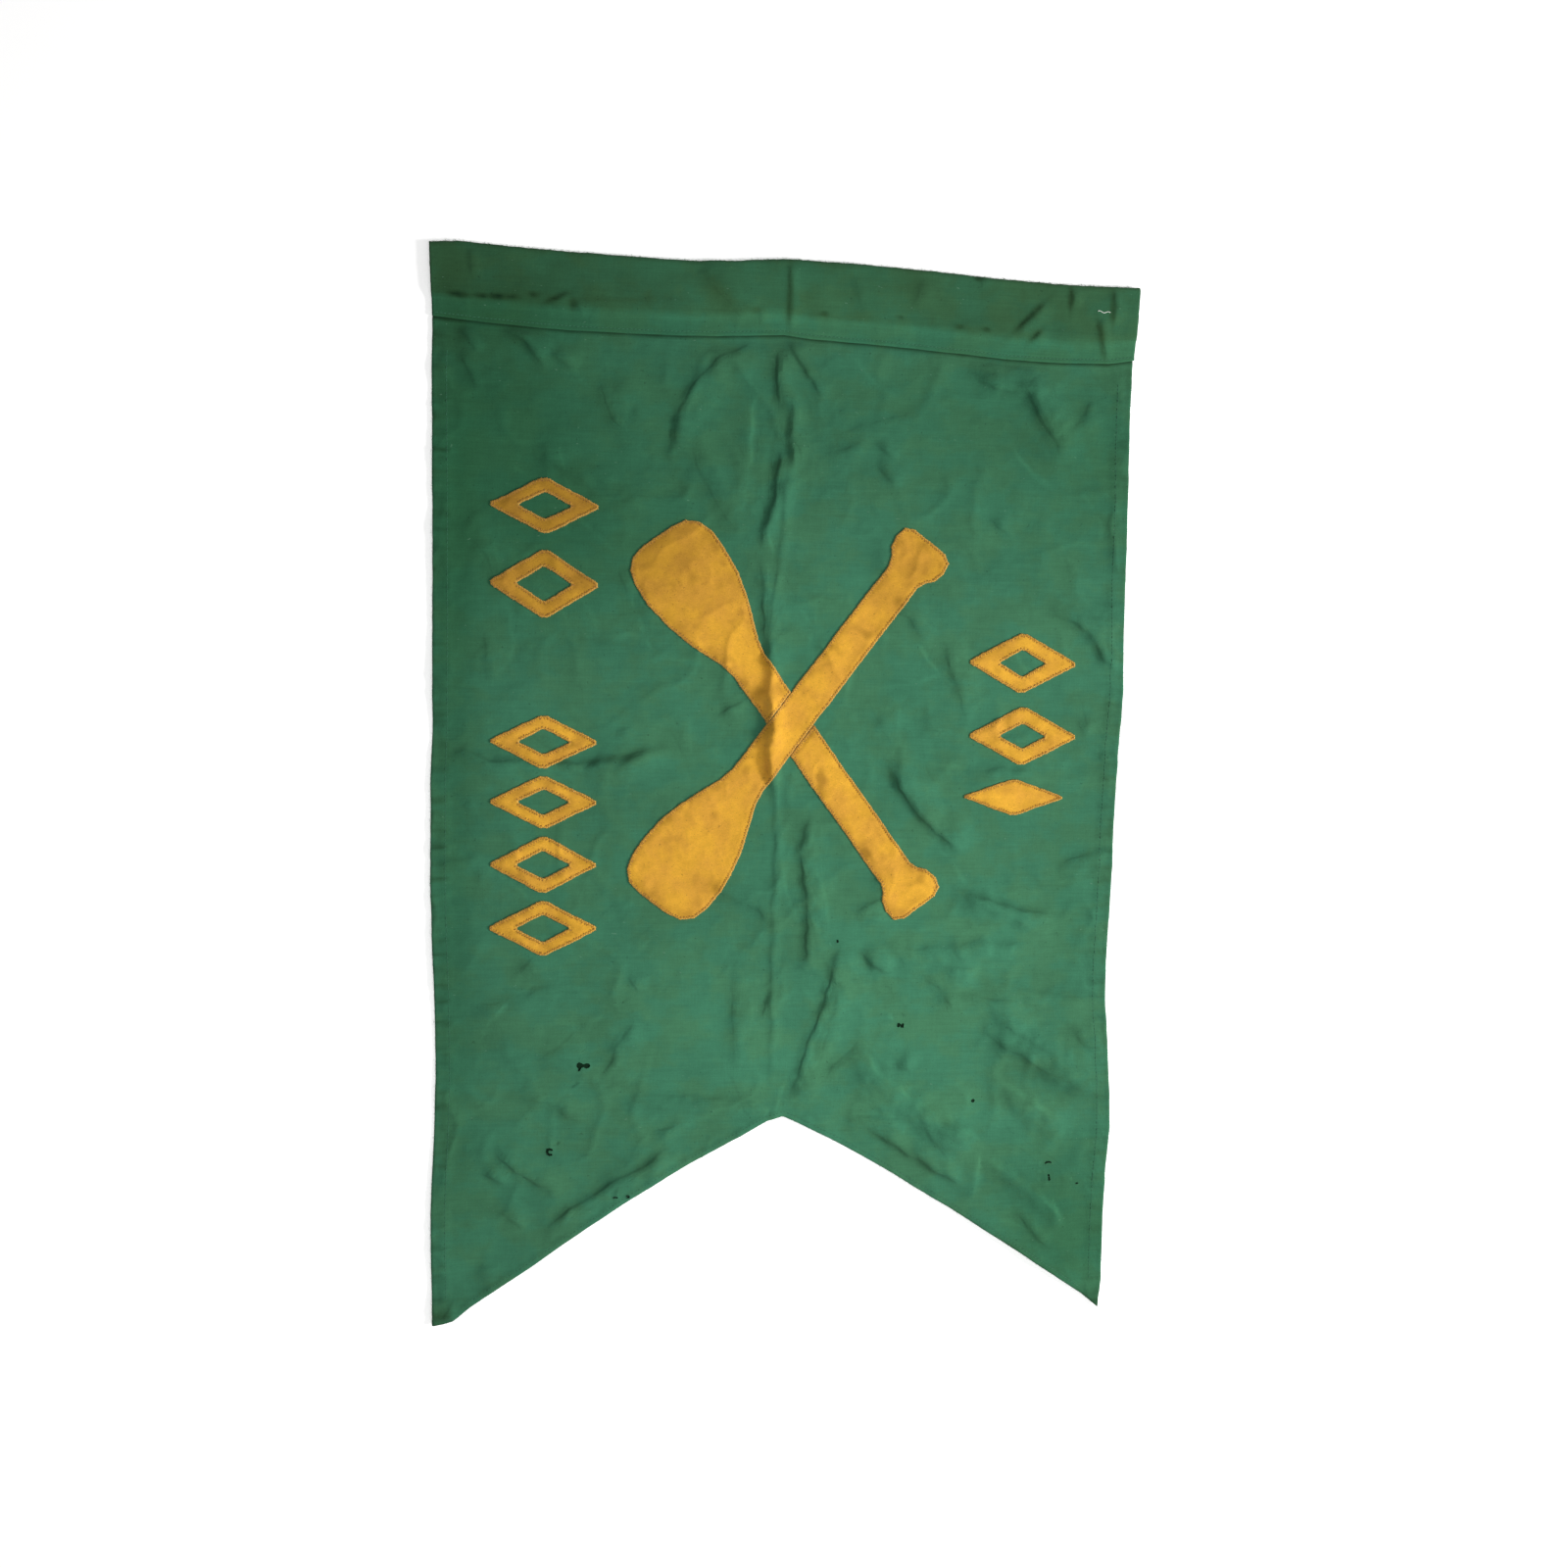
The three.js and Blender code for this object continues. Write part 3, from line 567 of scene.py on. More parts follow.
for j0, j1, i0, i1, loops in windows:
    keep[j0:j1, i0:i1] = False
    rim = ([(j, i0) for j in range(j0, j1)] + [(j1, i) for i in range(i0, i1)]
           + [(j, i1) for j in range(j1, j0, -1)] + [(j0, i) for i in range(i1, i0, -1)])
    rim_xy = np.array([(X[j, i], Y[j, i]) for j, i in rim])
    lo, hi = rim_xy.min(0), rim_xy.max(0)
    gx, gy = np.meshgrid(np.arange(lo[0], hi[0], 0.95), np.arange(lo[1], hi[1], 0.95))
    fill = np.stack([gx.ravel(), gy.ravel()], 1) + rng.uniform(-0.2, 0.2, (gx.size, 2))
    away = np.min([loop_distance(fill[:, 0], fill[:, 1], l) for l in loops], 0)
    ok = inside(fill[:, 0], fill[:, 1], rim_xy) & (loop_distance(fill[:, 0], fill[:, 1], rim_xy) > 0.6) & (away > 0.42)
    ok &= (away < 4) | (rng.random(len(fill)) < 0.25)
    fill = fill[ok]
    # a ring just outside each hole carries the curled lip
    out = []
    for loop in loops:
        m = len(loop)
        for k in range(m):
            d = loop[(k + 1) % m] - loop[k - 1]
            d = d / (np.hypot(*d) + 1e-9)
            out.append(loop[k] + np.array([d[1], -d[0]]) * 0.38)
    ring = np.array(out)
    ok = np.ones(len(ring), bool)
    for loop in loops:
        ok &= (loop_distance(ring[:, 0], ring[:, 1], loop) > 0.25) & ~inside(ring[:, 0], ring[:, 1], loop)
    ring = ring[ok]
    pts = np.concatenate([rim_xy] + loops + [ring, fill])
    nr, nl = len(rim_xy), sum(len(l) for l in loops)
    idx, at = [list(range(nr))], nr
    for loop in loops:
        idx.append(list(range(at, at + len(loop))))
        at += len(loop)
    xy, tri, back = cdt(pts, idx)
    cen = xy[tri].mean(1)
    tri = tri[inside(cen[:, 0], cen[:, 1], rim_xy)]
    cen = xy[tri].mean(1)
    in_hole = np.any([inside(cen[:, 0], cen[:, 1], l) for l in loops], 0)
    z = top(xy[:, 0], xy[:, 1])
    dl = np.min([loop_distance(xy[:, 0], xy[:, 1], l) for l in loops], 0)
    within = np.any([inside(xy[:, 0], xy[:, 1], l) for l in loops], 0)
    lip = np.where(within, 0, 0.16 * np.exp(-(dl / 0.8) ** 2) * (0.6 + noise(xy[:, 0], xy[:, 1], 1.6, 77)))
    ids = np.full(len(xy), -1)
    for k in range(len(xy)):
        if 0 <= back[k] < nr:
            ids[k] = gid(*rim[back[k]])
    on_loop = (back >= nr) & (back < nr + nl)
    low = np.full(len(xy), -1)
    for k in range(len(xy)):
        if ids[k] < 0 and not (within[k] and not on_loop[k]):
            ids[k] = next_id
            next_id += 1
            extra_v.append((xy[k, 0], xy[k, 1], z[k] + lip[k]))
        if on_loop[k] or within[k]:
            low[k] = next_id
            next_id += 1
            pit_ids.append(low[k])
            deep = 0.62 + 0.05 * noise(xy[k:k + 1, 0], xy[k:k + 1, 1], 1.4, 78)[0]
            extra_v.append((xy[k, 0], xy[k, 1], z[k] - deep))
    for t, hole in zip(tri, in_hole):
        a, b, c = xy[t]
        if (b[0] - a[0]) * (c[1] - a[1]) - (b[1] - a[1]) * (c[0] - a[0]) < 0:
            t = t[::-1]
        extra_f.append([low[q] if hole else ids[q] for q in t])
    where = {int(back[k]): k for k in range(len(xy)) if on_loop[k]}
    for l in idx[1:]:
        for k in range(len(l)):
            a, b = where[l[k]], where[l[(k + 1) % len(l)]]
            extra_f.append([ids[b], ids[a], low[a]])
            extra_f.append([ids[b], low[a], low[b]])

jj, ii = np.nonzero(keep)
a, b, c, d = gid(jj, ii), gid(jj + 1, ii), gid(jj + 1, ii + 1), gid(jj, ii + 1)
zf = grid_xyz[:, 2]
flip = np.abs(zf[a] - zf[c]) > np.abs(zf[b] - zf[d])
t1 = np.where(flip[:, None], np.stack([a, b, d], 1), np.stack([a, b, c], 1))
t2 = np.where(flip[:, None], np.stack([b, c, d], 1), np.stack([a, c, d], 1))
top_faces = np.concatenate([t1, t2, np.array(extra_f)])
n_top = NJ * NI + len(extra_v)

BJ, BI = (NJ + 1) // 2, (NI + 1) // 2
XB, YB = X[::2, ::2], Y[::2, ::2]
ZB = under(XB, YB)
bot_xyz = np.stack([XB, YB, ZB], -1).reshape(-1, 3)


def bid(j, i):
    return n_top + j * BI + i


jj, ii = np.nonzero(np.ones((BJ - 1, BI - 1), bool))
a, b, c, d = bid(jj, ii), bid(jj + 1, ii), bid(jj + 1, ii + 1), bid(jj, ii + 1)
bottom_faces = np.concatenate([np.stack([a, c, b], 1), np.stack([a, d, c], 1)])
walls = []
rim = ([(j, 0) for j in range(0, BJ - 1)] + [(BJ - 1, i) for i in range(0, BI - 1)]
       + [(j, BI - 1) for j in range(BJ - 1, 0, -1)] + [(0, i) for i in range(BI - 1, 0, -1)])
for k, (j, i) in enumerate(rim):
    m, n = rim[(k + 1) % len(rim)]
    p0, p2 = bid(j, i), bid(m, n)
    q0, q1, q2 = gid(2 * j, 2 * i), gid(j + m, i + n), gid(2 * m, 2 * n)
    walls += [(p0, q1, q0), (p0, p2, q1), (p2, q2, q1)]
body_v = np.concatenate([grid_xyz, np.array(extra_v), bot_xyz])

# Marks on the cloth: stains, and where a mark is thin along a crease, painted crease shade: (x, y, half length, half
# width, angle, strength).
STAINS_AND_CREASE_SHADE = [
    (-246, -381, 12, 11, 0, 0.75), (-238, -372, 22, 10, 35, 0.35), (248, -384, 12, 8, 0, 0.55),
    (214, -348, 26, 12, -38, 0.35), (-236, 322, 22, 16, -40, 0.35), (-214, 300, 40, 30, -40, 0.22),
    (236, 290, 18, 40, 5, 0.22), (212, 302, 12, 8, 30, 0.30), (-85, 262, 5, 22, 8, 0.30),
    (-17, 200, 8, 30, 8, 0.22), (34, -160, 9, 50, -12, 0.20), (17, -80, 5, 40, -3, 0.16),
    (190, -205, 55, 14, -28, 0.24), (180, -288, 60, 18, -35, 0.16), (-250, 120, 6, 240, 0, 0.16),
    (250, -120, 6, 200, 0, 0.14), (244, -10, 10, 130, 0, 0.10), (0, 250, 60, 40, 0, 0.08),
    (-60, -222, 60, 5, 2, 0.14), (100, -268, 70, 6, -32, 0.16), (-130, -287, 70, 6, 32, 0.14),
    (176, 268, 22, 5, -50, 0.22), (160, -118, 22, 4, 0, 0.12), (-120, 120, 18, 10, 30, 0.08),
    (130, -60, 70, 30, 0, 0.04), (-150, -170, 34, 12, 40, 0.10), (-30, 328, 40, 6, 5, 0.26),
    (10, 318, 16, 5, -50, 0.22), (-200, 325, 60, 4, -2, 0.18), (176, 318, 90, 5, 0, 0.14),
]
# Broad lighter (+) and darker (-) areas of the cloth's colour: partly fading, partly painted light and shade across the
# flag.
FADES_AND_LIGHT = [  # (x, y, half size x, half size y, amount)
    (60, -150, 190, 150, 0.08), (-200, 300, 150, 130, -0.20), (-120, 60, 130, 110, 0.04),
    (0, 270, 260, 60, -0.05), (-215, -330, 70, 80, 0.0), (225, -325, 70, 80, -0.24),
    (-6, -190, 22, 34, 0.12), (-70, -150, 40, 50, 0.05), (110, -225, 40, 12, 0.12),
    (200, -236, 60, 10, 0.10), (150, 0, 60, 40, 0.02), (-190, -220, 40, 20, 0.08), (90, -90, 40, 30, 0.05),
    (-60, 130, 60, 50, 0.04), (160, 200, 60, 60, -0.03), (-243, 140, 22, 150, -0.26), (-150, 190, 100, 70, -0.15),
    (-245, -120, 18, 160, -0.16), (60, 120, 90, 110, 0.09), (220, -110, 34, 130, -0.12), (235, 260, 40, 60, -0.12),
    (0, 362, 240, 26, 0.14), (160, 285, 60, 40, -0.04), (88, 170, 26, 40, -0.08),
    (-215, 250, 50, 120, -0.10), (-177, 190, 50, 60, -0.08), (-235, -60, 20, 160, -0.06), (-228, -260, 40, 110, -0.08),
    (-80, 175, 50, 50, -0.06), (-215, 343, 70, 16, -0.19), (-215, 290, 60, 50, -0.07), (170, 260, 130, 90, -0.09), (238, -345, 46, 46, -0.10),
    (0, -190, 150, 60, 0.07), (70, 310, 120, 40, -0.06), (150, -130, 110, 60, 0.04),
]


def blob(x, y, cx, cy, rx, ry, angle):
    a = math.radians(angle)
    dx, dy = x - cx, y - cy
    u, v = (dx * math.cos(a) + dy * math.sin(a)) / rx, (dy * math.cos(a) - dx * math.sin(a)) / ry
    return np.exp(-(u * u + v * v))


# Body darkening: stains and dirt, plus painted shade along creases, hem puckers, the seam gap and the lifted fork edge.
def dirt_and_shade_at(x, y):
    s = np.zeros(x.shape)
    # Painted shade along the creases: a little on every crease, much more where the crease runs along the light and its
    # relief shows little shade.
    for k, (height, shaded, lit, line) in enumerate(CREASES):
        pts = np.array(line, float) - OFF
        w = min(shaded, lit) * 0.95
        box = ((x > pts[:, 0].min() - 3 * w) & (x < pts[:, 0].max() + 3 * w)
               & (y > pts[:, 1].min() - 3 * w) & (y < pts[:, 1].max() + 3 * w))
        if not box.any():
            continue
        d, at, run = line_field(x[box], y[box], line, 3 * w)
        chord = (pts[-1] - pts[0]) / np.hypot(*(pts[-1] - pts[0]))
        across = abs(-chord[1] * LIGHT[0] + chord[0] * LIGHT[1])
        ends = soft(0.1 + np.minimum(at, run - at) / (6 + 0.15 * run))
        wob = noise(x[box], y[box], 13, 65) * 0.6 * w
        s[box] += (0.05 + 0.34 * max(0.0, 0.75 - across)) * min(1.3, abs(height)) * ends * np.exp(-((d + wob) / w) ** 2)
    for cx, cy, rx, ry, ang, k in STAINS_AND_CREASE_SHADE:
        s += k * blob(x, y, cx, cy, rx, ry, ang)
    side, fork = edge_room(x, y)
    s += 0.16 * soft((5 - side) / 5) + 0.05 * np.exp(-((side - HEM_W) / 1.6) ** 2)
    # Painted shade on the hem puckers, from the same noise as their relief.
    s += (0.85 + 0.5 * (x < 0)) * soft((15 - side) / 7) * soft(side / 2) * np.clip(noise(y, side * 0.16, 5.6, 21) - 0.12, 0, 1)
    s += 0.50 * soft((13 - side) / 6) * np.clip(noise(y, side * 0.25, 3.1, 22) - 0.2, 0, 1)
    s += 0.10 * np.exp(-((fork - 5) / 1.6) ** 2) - 0.10 * soft((3.5 - fork) / 2)
    # Painted shadow of the lifted lower-right fork edge: a dark band along that edge.
    s += (0.65 * np.exp(-(fork / 1.9) ** 2) + 0.16 * np.exp(-(fork / 6) ** 2)) * soft((x - 90) / 50) * np.clip(0.9 + 0.8 * noise(x, y, 19, 67), 0, 1.3)
    s += 0.28 * np.exp(-(fork / 1.5) ** 2) * soft((-100 - x) / 60) * np.clip(0.6 + 0.9 * noise(x, y, 15, 68), 0, 1.2)
    v = seam_at(x) - y
    # Painted shade in the gap under the sleeve's flap edge: a dark line along the seam.
    s += 0.80 * np.exp(-(np.maximum(v - 0.5, 0) / 1.5) ** 2)
    s += 0.12 * np.exp(-(v / 9) ** 2)
    s *= 0.75 + 0.5 * noise(x, y, 12, 62)
    s += 0.30 * np.clip(noise(x, y, 9, 63) * noise(x, y, 31, 64) - 0.12, 0, 1)
    for raw in HOLES:
        p = np.array(raw).mean(0) - OFF
        s += 0.10 * np.exp(-(((x - p[0]) ** 2 + (y - p[1]) ** 2) / 16))
    return np.clip(s, 0, 1)


def fade_and_light_at(x, y):
    f = np.zeros(x.shape)
    for cx, cy, rx, ry, k in FADES_AND_LIGHT:
        f += k * blob(x, y, cx, cy, rx, ry, 0)
    return f


line_d, line_s = creasing(body_v[:, 0], body_v[:, 1], CREASES + fine_lines())
line_s[n_top:] = 0
bv = seam_at(body_v[:, 0]) - body_v[:, 1]
# Painted shade under the flap's edge along the seam, in the near-black pit colour.
pit = 0.55 * np.exp(-((bv - 0.6) / 1.1) ** 2)
# The hole floors are painted near-black shade.
pit[pit_ids] = 1
body = make_mesh("green_body_cloth", body_v, np.concatenate([top_faces, bottom_faces, np.array(walls)]),
                 {"soil": dirt_and_shade_at(body_v[:, 0], body_v[:, 1]), "fade": fade_and_light_at(body_v[:, 0], body_v[:, 1]), "pit": pit,
                  "line": line_d, "press": line_s})

# -------------------------------------------------------- the staff sleeve --
SLEEVE_CREASES = [   # (height, shaded width, lit width, line)
    (0.75, 9, 11, [(-70, 381), (-58, 368), (-48, 358), (-36, 347)]),
    (0.7, 3, 6, [(-6, 389), (-5, 370), (-5, 345)]),
    (0.8, 3.5, 6, [(160, 350), (172, 361), (183, 373)]),
    (0.6, 3, 5, [(172, 344), (181, 352)]),
    (0.9, 3, 5, [(201, 383), (202, 368)]),
    (0.8, 3.2, 5, [(233, 384), (234, 357)]),
    (1.0, 3.2, 6, [(222, 362), (226, 346), (231, 331)]),
    (0.5, 2.5, 4, [(-28, 356), (-24, 346)]),
    (0.5, 3, 5, [(-230, 386), (-226, 366)]),
    (0.5, 4, 6, [(-174, 353), (-161, 359)]),
    (0.5, 3, 5, [(-157, 354), (-150, 344)]),
    (0.5, 4, 7, [(92, 384), (84, 362)]),
    (0.4, 3, 6, [(40, 382), (46, 362)]),
    (0.4, 2.5, 4, [(133, 386), (134, 378)]),
]
NC = 330
sx = np.linspace(SLEEVE_X[0], SLEEVE_X[1], NC)


def sleeve_relief(x, y):
    z = np.zeros(x.shape)
    wob = noise(x, y, 12, 93) * 1.2
    for k, (height, shaded, lit, line) in enumerate(SLEEVE_CREASES):
        d, at, run = line_field(x, y, line, 40)
        c = d + wob - 0.7 * shaded
        w = np.where(c > 0, lit, shaded)
        ends = soft(0.2 + np.minimum(at, run - at) / 8)
        z += 1.7 * height * ends * np.exp(-(c / w) ** 2)
    z += 0.55 * noise(x, y, 70, 101) + 0.24 * noise(x, y, 27, 102) + 0.10 * noise(x, y, 11, 103)
    z += 0.035 * noise(x, y, 5, 104) + 0.02 * noise(x, y, 2.6, 105)
    return z


def sleeve_loop(x):
    """Points of the folded strip round its section, at every x: (NC, n, 2)."""
    s, e = seam_at(x), hoist_at(x)
    s = s + 0.25 * noise(x, x * 0, 17, 111)
    e = e + 0.30 * noise(x, x * 0, 9, 112) + 0.16 * noise(x, x * 0, 3.2, 113) - 0.5
    H = 6.1 + 0.4 * noise(x, x * 0, 60, 114)
    r = H / 2
    parts = []

    def leaf(v):
        """Top of the upper leaf, v from the flap's edge up."""
        v = np.asarray(v, float)[None, :] * np.ones((len(x), 1))
        yy = s[:, None] + v
        low, high = 2 * CLOTH + SEAM_Z + 0.3 - 0.03, H[:, None]
        ramp = soft((v - 8.5) / 11) * 0.85 + 0.15 * soft(v / 40)
        z = low + (high - low) * ramp
        free = soft((v - 4) / 7) * soft((e[:, None] - r[:, None] - yy) / 6 + 0.35)
        z = z + sleeve_relief(x[:, None] * np.ones_like(v), yy) * (0.18 + 0.82 * free)
        z = z - 0.16 * np.exp(-((v - 2.6) / 0.8) ** 2) + 0.10 * np.exp(-((v - 0.9) / 0.9) ** 2)
        gather = np.clip(noise(x[:, None] + v * 0, v * 0.2, 6.3, 115), 0, 2)
        z = z + 0.26 * gather * np.exp(-((v - 9) / 7) ** 2)
        return yy, np.maximum(z, low - 0.25)

    span = (e - r) - s
    frac = np.concatenate([[0.0], np.array([0.5, 1.1, 1.8, 2.6, 3.4, 4.6, 6, 7.5, 9, 10.5, 12, 13.5, 15, 16.5, 18, 19.5, 21]) / 50,
                           np.linspace(22.6 / 50, 1, 18)])
    yy, zz = np.zeros((len(x), len(frac))), np.zeros((len(x), len(frac)))
    for k, f in enumerate(frac):
        v = f * span
        y1 = s + v
        low = 2 * CLOTH + SEAM_Z + 0.27
        ramp = soft((v - 8.5) / 11) * 0.9 + 0.1 * soft(v / 40)
        z = low + (H - low) * ramp
        free = soft((v - 4) / 7) * soft((span - v) / 6 + 0.35)
        z = z + sleeve_relief(x, y1) * (0.18 + 0.82 * free)
        z = z - 0.16 * np.exp(-((v - 2.6) / 0.8) ** 2) + 0.10 * np.exp(-((v - 0.9) / 0.9) ** 2)
        z = z + 0.28 * np.clip(noise(x, v * 0.2, 6.3, 115), 0, 2) * np.exp(-((v - 10) / 7) ** 2)
        yy[:, k], zz[:, k] = y1, np.maximum(z, low - 0.25)
    end_z = zz[:, -1]
    T = CLOTH
    # outside: back leaf, round the hoist edge, then down the upper leaf
    back_v = np.linspace(0, 1, 14)
    outer = []
    for f in back_v:
        outer.append((s + 2.2 + (span - 2.2) * f, 0.05 + 0 * x))
    for k in range(1, 9):
        a = -math.pi / 2 + math.pi * k / 9
        outer.append((e - r + r * np.cos(a), (end_z + 0.05) / 2 + (end_z - 0.05) / 2 * np.sin(a)))
    for k in range(len(frac) - 1, -1, -1):
        outer.append((yy[:, k], zz[:, k]))
    # the flap's cut edge, then the inside back round
    inner = []
    picks = [0, 2, 5, 8, 10, 12, 14, 16, 18, 21, 24, 27, 30, 33, len(frac) - 1]
    inner.append((yy[:, 0] - 0.28, zz[:, 0] - 0.42))
    for k in picks:
        inner.append((yy[:, k], zz[:, k] - T))
    ri_z = end_z - T
    for k in range(1, 7):
        a = math.pi / 2 - math.pi * k / 7
        inner.append((e - r + (r - T) * np.cos(a), (ri_z + T + 0.05) / 2 + (ri_z - T - 0.05) / 2 * np.sin(a)))
    for f in np.linspace(1, 0, 9):
        inner.append((s + 2.2 + (span - 2.2) * f, 0.05 + T + 0 * x))
    loop = outer + inner
    return np.stack([np.stack([p[0] for p in loop], 1), np.stack([p[1] for p in loop], 1)], -1)


LP = sleeve_loop(sx)
n = LP.shape[1]
jag = 0.22 * noise(LP[0, :, 0] * 1.0, LP[0, :, 1] * 3, 4, 120)
SX = np.repeat(sx[:, None], n, 1)
SX[0] += jag
SX[-1] += 0.22 * noise(LP[-1, :, 0], LP[-1, :, 1] * 3, 4, 121)
drawn = np.clip((LP[..., 0] - seam_at(SX)) / 52, 0, 1)
SX = SX + np.where(SX < 0, 1, -1) * (1 - drawn) * np.abs(SX / 255) ** 8 * 1.7
sl_v = np.stack([SX, LP[..., 0], LP[..., 1]], -1).reshape(-1, 3)
k, i = np.meshgrid(np.arange(NC - 1), np.arange(n), indexing="ij")
a, b = k * n + i, k * n + (i + 1) % n
c, d = a + n, b + n
sl_f = [np.stack([a.ravel(), b.ravel(), d.ravel(), c.ravel()], 1)]
caps = []
for kk, last in ((0, False), (NC - 1, True)):
    pts = LP[kk]
    loop = list(range(n))
    xy, tri, back = cdt(pts.copy(), [loop])
    cen = xy[tri].mean(1)
    for t in tri[inside(cen[:, 0], cen[:, 1], pts)]:
        p, q, r_ = xy[t]
        if (q[0] - p[0]) * (r_[1] - p[1]) - (q[1] - p[1]) * (r_[0] - p[0]) < 0:
            t = t[::-1]
        ids = [kk * n + int(back[m]) for m in t]
        caps.append(ids if last else ids[::-1])
sl_f.append(np.array(caps))
# Marks on the sleeve: stains, and thin dark lines along the sleeve's creases, which are painted crease shade: (x, y,
# half length, half width, angle, strength).
SLEEVE_STAINS_AND_CREASE_SHADE = [
    (-235, 354.6, 6, 1.6, -3, 0.95), (-220, 354.4, 4, 1.4, 0, 0.7), (-209, 354.2, 5, 1.7, 0, 0.95), (-198, 354.6, 5, 1.5, 0, 0.5),
    (-184, 357, 3, 1.8, 0, 0.5), (-168, 356, 9, 1.6, 25, 0.55), (-157, 352, 2.5, 4, 0, 0.4), (-30, 355, 5, 2.2, 0, 0.34),
    (-52, 363, 22, 8, -45, 0.26), (-5, 366, 2.2, 22, 0, 0.55), (132, 386, 3, 2, 0, 0.8), (20, 355, 3, 1.5, 0, 0.4), (75, 355, 2.5, 1.4, 0, 0.4),
    (119, 351, 3, 1.5, 0, 0.45), (139, 350, 3, 1.5, 0, 0.45), (171, 361, 14, 1.8, 45, 0.5), (176, 348, 6, 1.5, 45, 0.5),
    (201, 375, 1.6, 7, 0, 0.6), (233, 370, 1.8, 13, 0, 0.55), (226, 346, 2, 15, 16, 0.6), (-246, 365, 10, 28, 0, 0.24),
    (-120, 372, 60, 14, 0, 0.12), (60, 374, 90, 10, 0, 0.10), (200, 366, 60, 22, 0, 0.15), (-200, 372, 40, 16, 0, 0.15),
    (-130, 356, 26, 2, 3, 0.22), (50, 353, 60, 1.8, -1, 0.16),
]


# The narrow marks, near-black: stains and painted crease shade.
def sleeve_marks_and_crease_shade(x, y):
    s = np.zeros(x.shape)
    for cx, cy, rx, ry, ang, kk in SLEEVE_STAINS_AND_CREASE_SHADE:
        if kk >= 0.4 and ry < 10:
            s += 0.95 * kk * blob(x, y, cx - 1.25, cy - 1.3, rx, ry, ang)
    s *= np.clip(0.9 + 0.9 * noise(x, y, 4.5, 135), 0, 1.4)
    return np.clip(s, 0, 0.88)


def sleeve_dirt_and_shade(x, y):
    s = np.zeros(x.shape)
    for cx, cy, rx, ry, ang, kk in SLEEVE_STAINS_AND_CREASE_SHADE:
        s += kk * blob(x, y, cx - 1.25, cy - 1.3, rx, ry, ang)
    v = y - seam_at(x)
    # Darker from 12 mm above the seam upwards, so the strip by the seam stays lighter.
    s += 0.66 * soft((v - 12) / 5) * (0.85 + 0.25 * noise(x, y, 20, 131)) - 0.02
    s += 0.25 * soft((y - hoist_at(x) + 5) / 4) + 0.06 * np.exp(-((v - 2.6) / 0.8) ** 2)
    s += 0.10 * np.clip(noise(x, v * 0.25, 8, 132), 0, 1) * soft((22 - v) / 8)
    s += 0.30 * np.clip(noise(x, y, 9, 133) * noise(x, y, 27, 134) - 0.15, 0, 1)
    return np.clip(s, 0, 1)


line_d, line_s = creasing(sl_v[:, 0], sl_v[:, 1], SLEEVE_CREASES, 0.8)
line_s[sl_v[:, 2] < 2.6] = 0
sleeve = make_mesh("sleeve_strip", sl_v, sl_f, {
    "line": line_d, "press": line_s,
    "soil": sleeve_dirt_and_shade(sl_v[:, 0], sl_v[:, 1]), "fade": fade_and_light_at(sl_v[:, 0], sl_v[:, 1]), "pit": sleeve_marks_and_crease_shade(sl_v[:, 0], sl_v[:, 1])})


def sleeve_top(x, y):
    """Top of the sleeve's upper leaf at points near its flap."""
    out = np.zeros(np.shape(x))
    half = LP[:, 14 + 8:14 + 8 + 36][:, ::-1]
    for q, (px, py) in enumerate(zip(np.ravel(x), np.ravel(y))):
        c = np.clip((px - sx[0]) / (sx[1] - sx[0]), 0, NC - 1.001)
        k0 = int(c)
        f = c - k0
        z0 = np.interp(py, half[k0, :, 0], half[k0, :, 1])
        z1 = np.interp(py, half[k0 + 1, :, 0], half[k0 + 1, :, 1])
        out.flat[q] = z0 * (1 - f) + z1 * f
    return out


# ------------------------------------------------------------ the gold felt --
PADDLE = dict(x=1.0, y=60.2, tilt=53.5)
PADDLE_SIDE = [(-165.5, 12), (-163.5, 23), (-157, 30.5), (-146, 34), (-130, 34.5), (-112, 32.5), (-94, 28), (-78, 22),
               (-64, 16.6), (-52, 13.8), (136, 13.5), (143, 16), (148, 20.5), (156, 22.5), (165, 21), (168.5, 14)]
LOZENGES = [
    ("lozenge_a1", -177.4, 211.7, 39.9, 20.4, 9.4), ("lozenge_a2", -177.4, 156.7, 39.9, 25.2, 10.5),
    ("lozenge_a3", -177.2, 44.2, 39.7, 19.8, 9.4), ("lozenge_a4", -177.2, 0.7, 39.8, 20.0, 9.4),
    ("lozenge_a5", -177.0, -44.8, 40.0, 21.4, 9.6), ("lozenge_a6", -176.8, -91.3, 40.4, 21.0, 9.6),
    ("lozenge_b1", 174.6, 108.7, 42.8, 23.2, 11.6), ("lozenge_b2", 176.6, 54.2, 43.0, 22.6, 11.6),
    ("lozenge_b3", 171.2, 8.2, 40.4, 14.2, 0)]


def paddle(mirror, grow=0.0, part=None):
    a = math.radians(PADDLE["tilt"])
    c, s = math.cos(a), math.sin(a)
    side = [(u, v + grow) for u, v in PADDLE_SIDE]
    if part == "blade":
        side = [p for p in side if p[0] < 0] + [(0, 13.6 + grow)]
    if part == "shaft":
        side = [(0, 13.6 + grow)] + [p for p in side if p[0] > 0]
    loop = [(u, -v) for u, v in side] + side[::-1]
    return np.array([(PADDLE["x"] + u * c - v * s, PADDLE["y"] + (-1 if mirror else 1) * (u * s + v * c)) for u, v in loop])


def lozenge(x, y, hx, hy):
    b = 0.06
    q = [(1 - b, -b), (1 - b, b), (b, 1 - b), (-b, 1 - b), (-1 + b, b), (-1 + b, -b), (-b, -1 + b), (b, -1 + b)]
    return np.array([(x + u * hx, y + v * hy) for u, v in q])


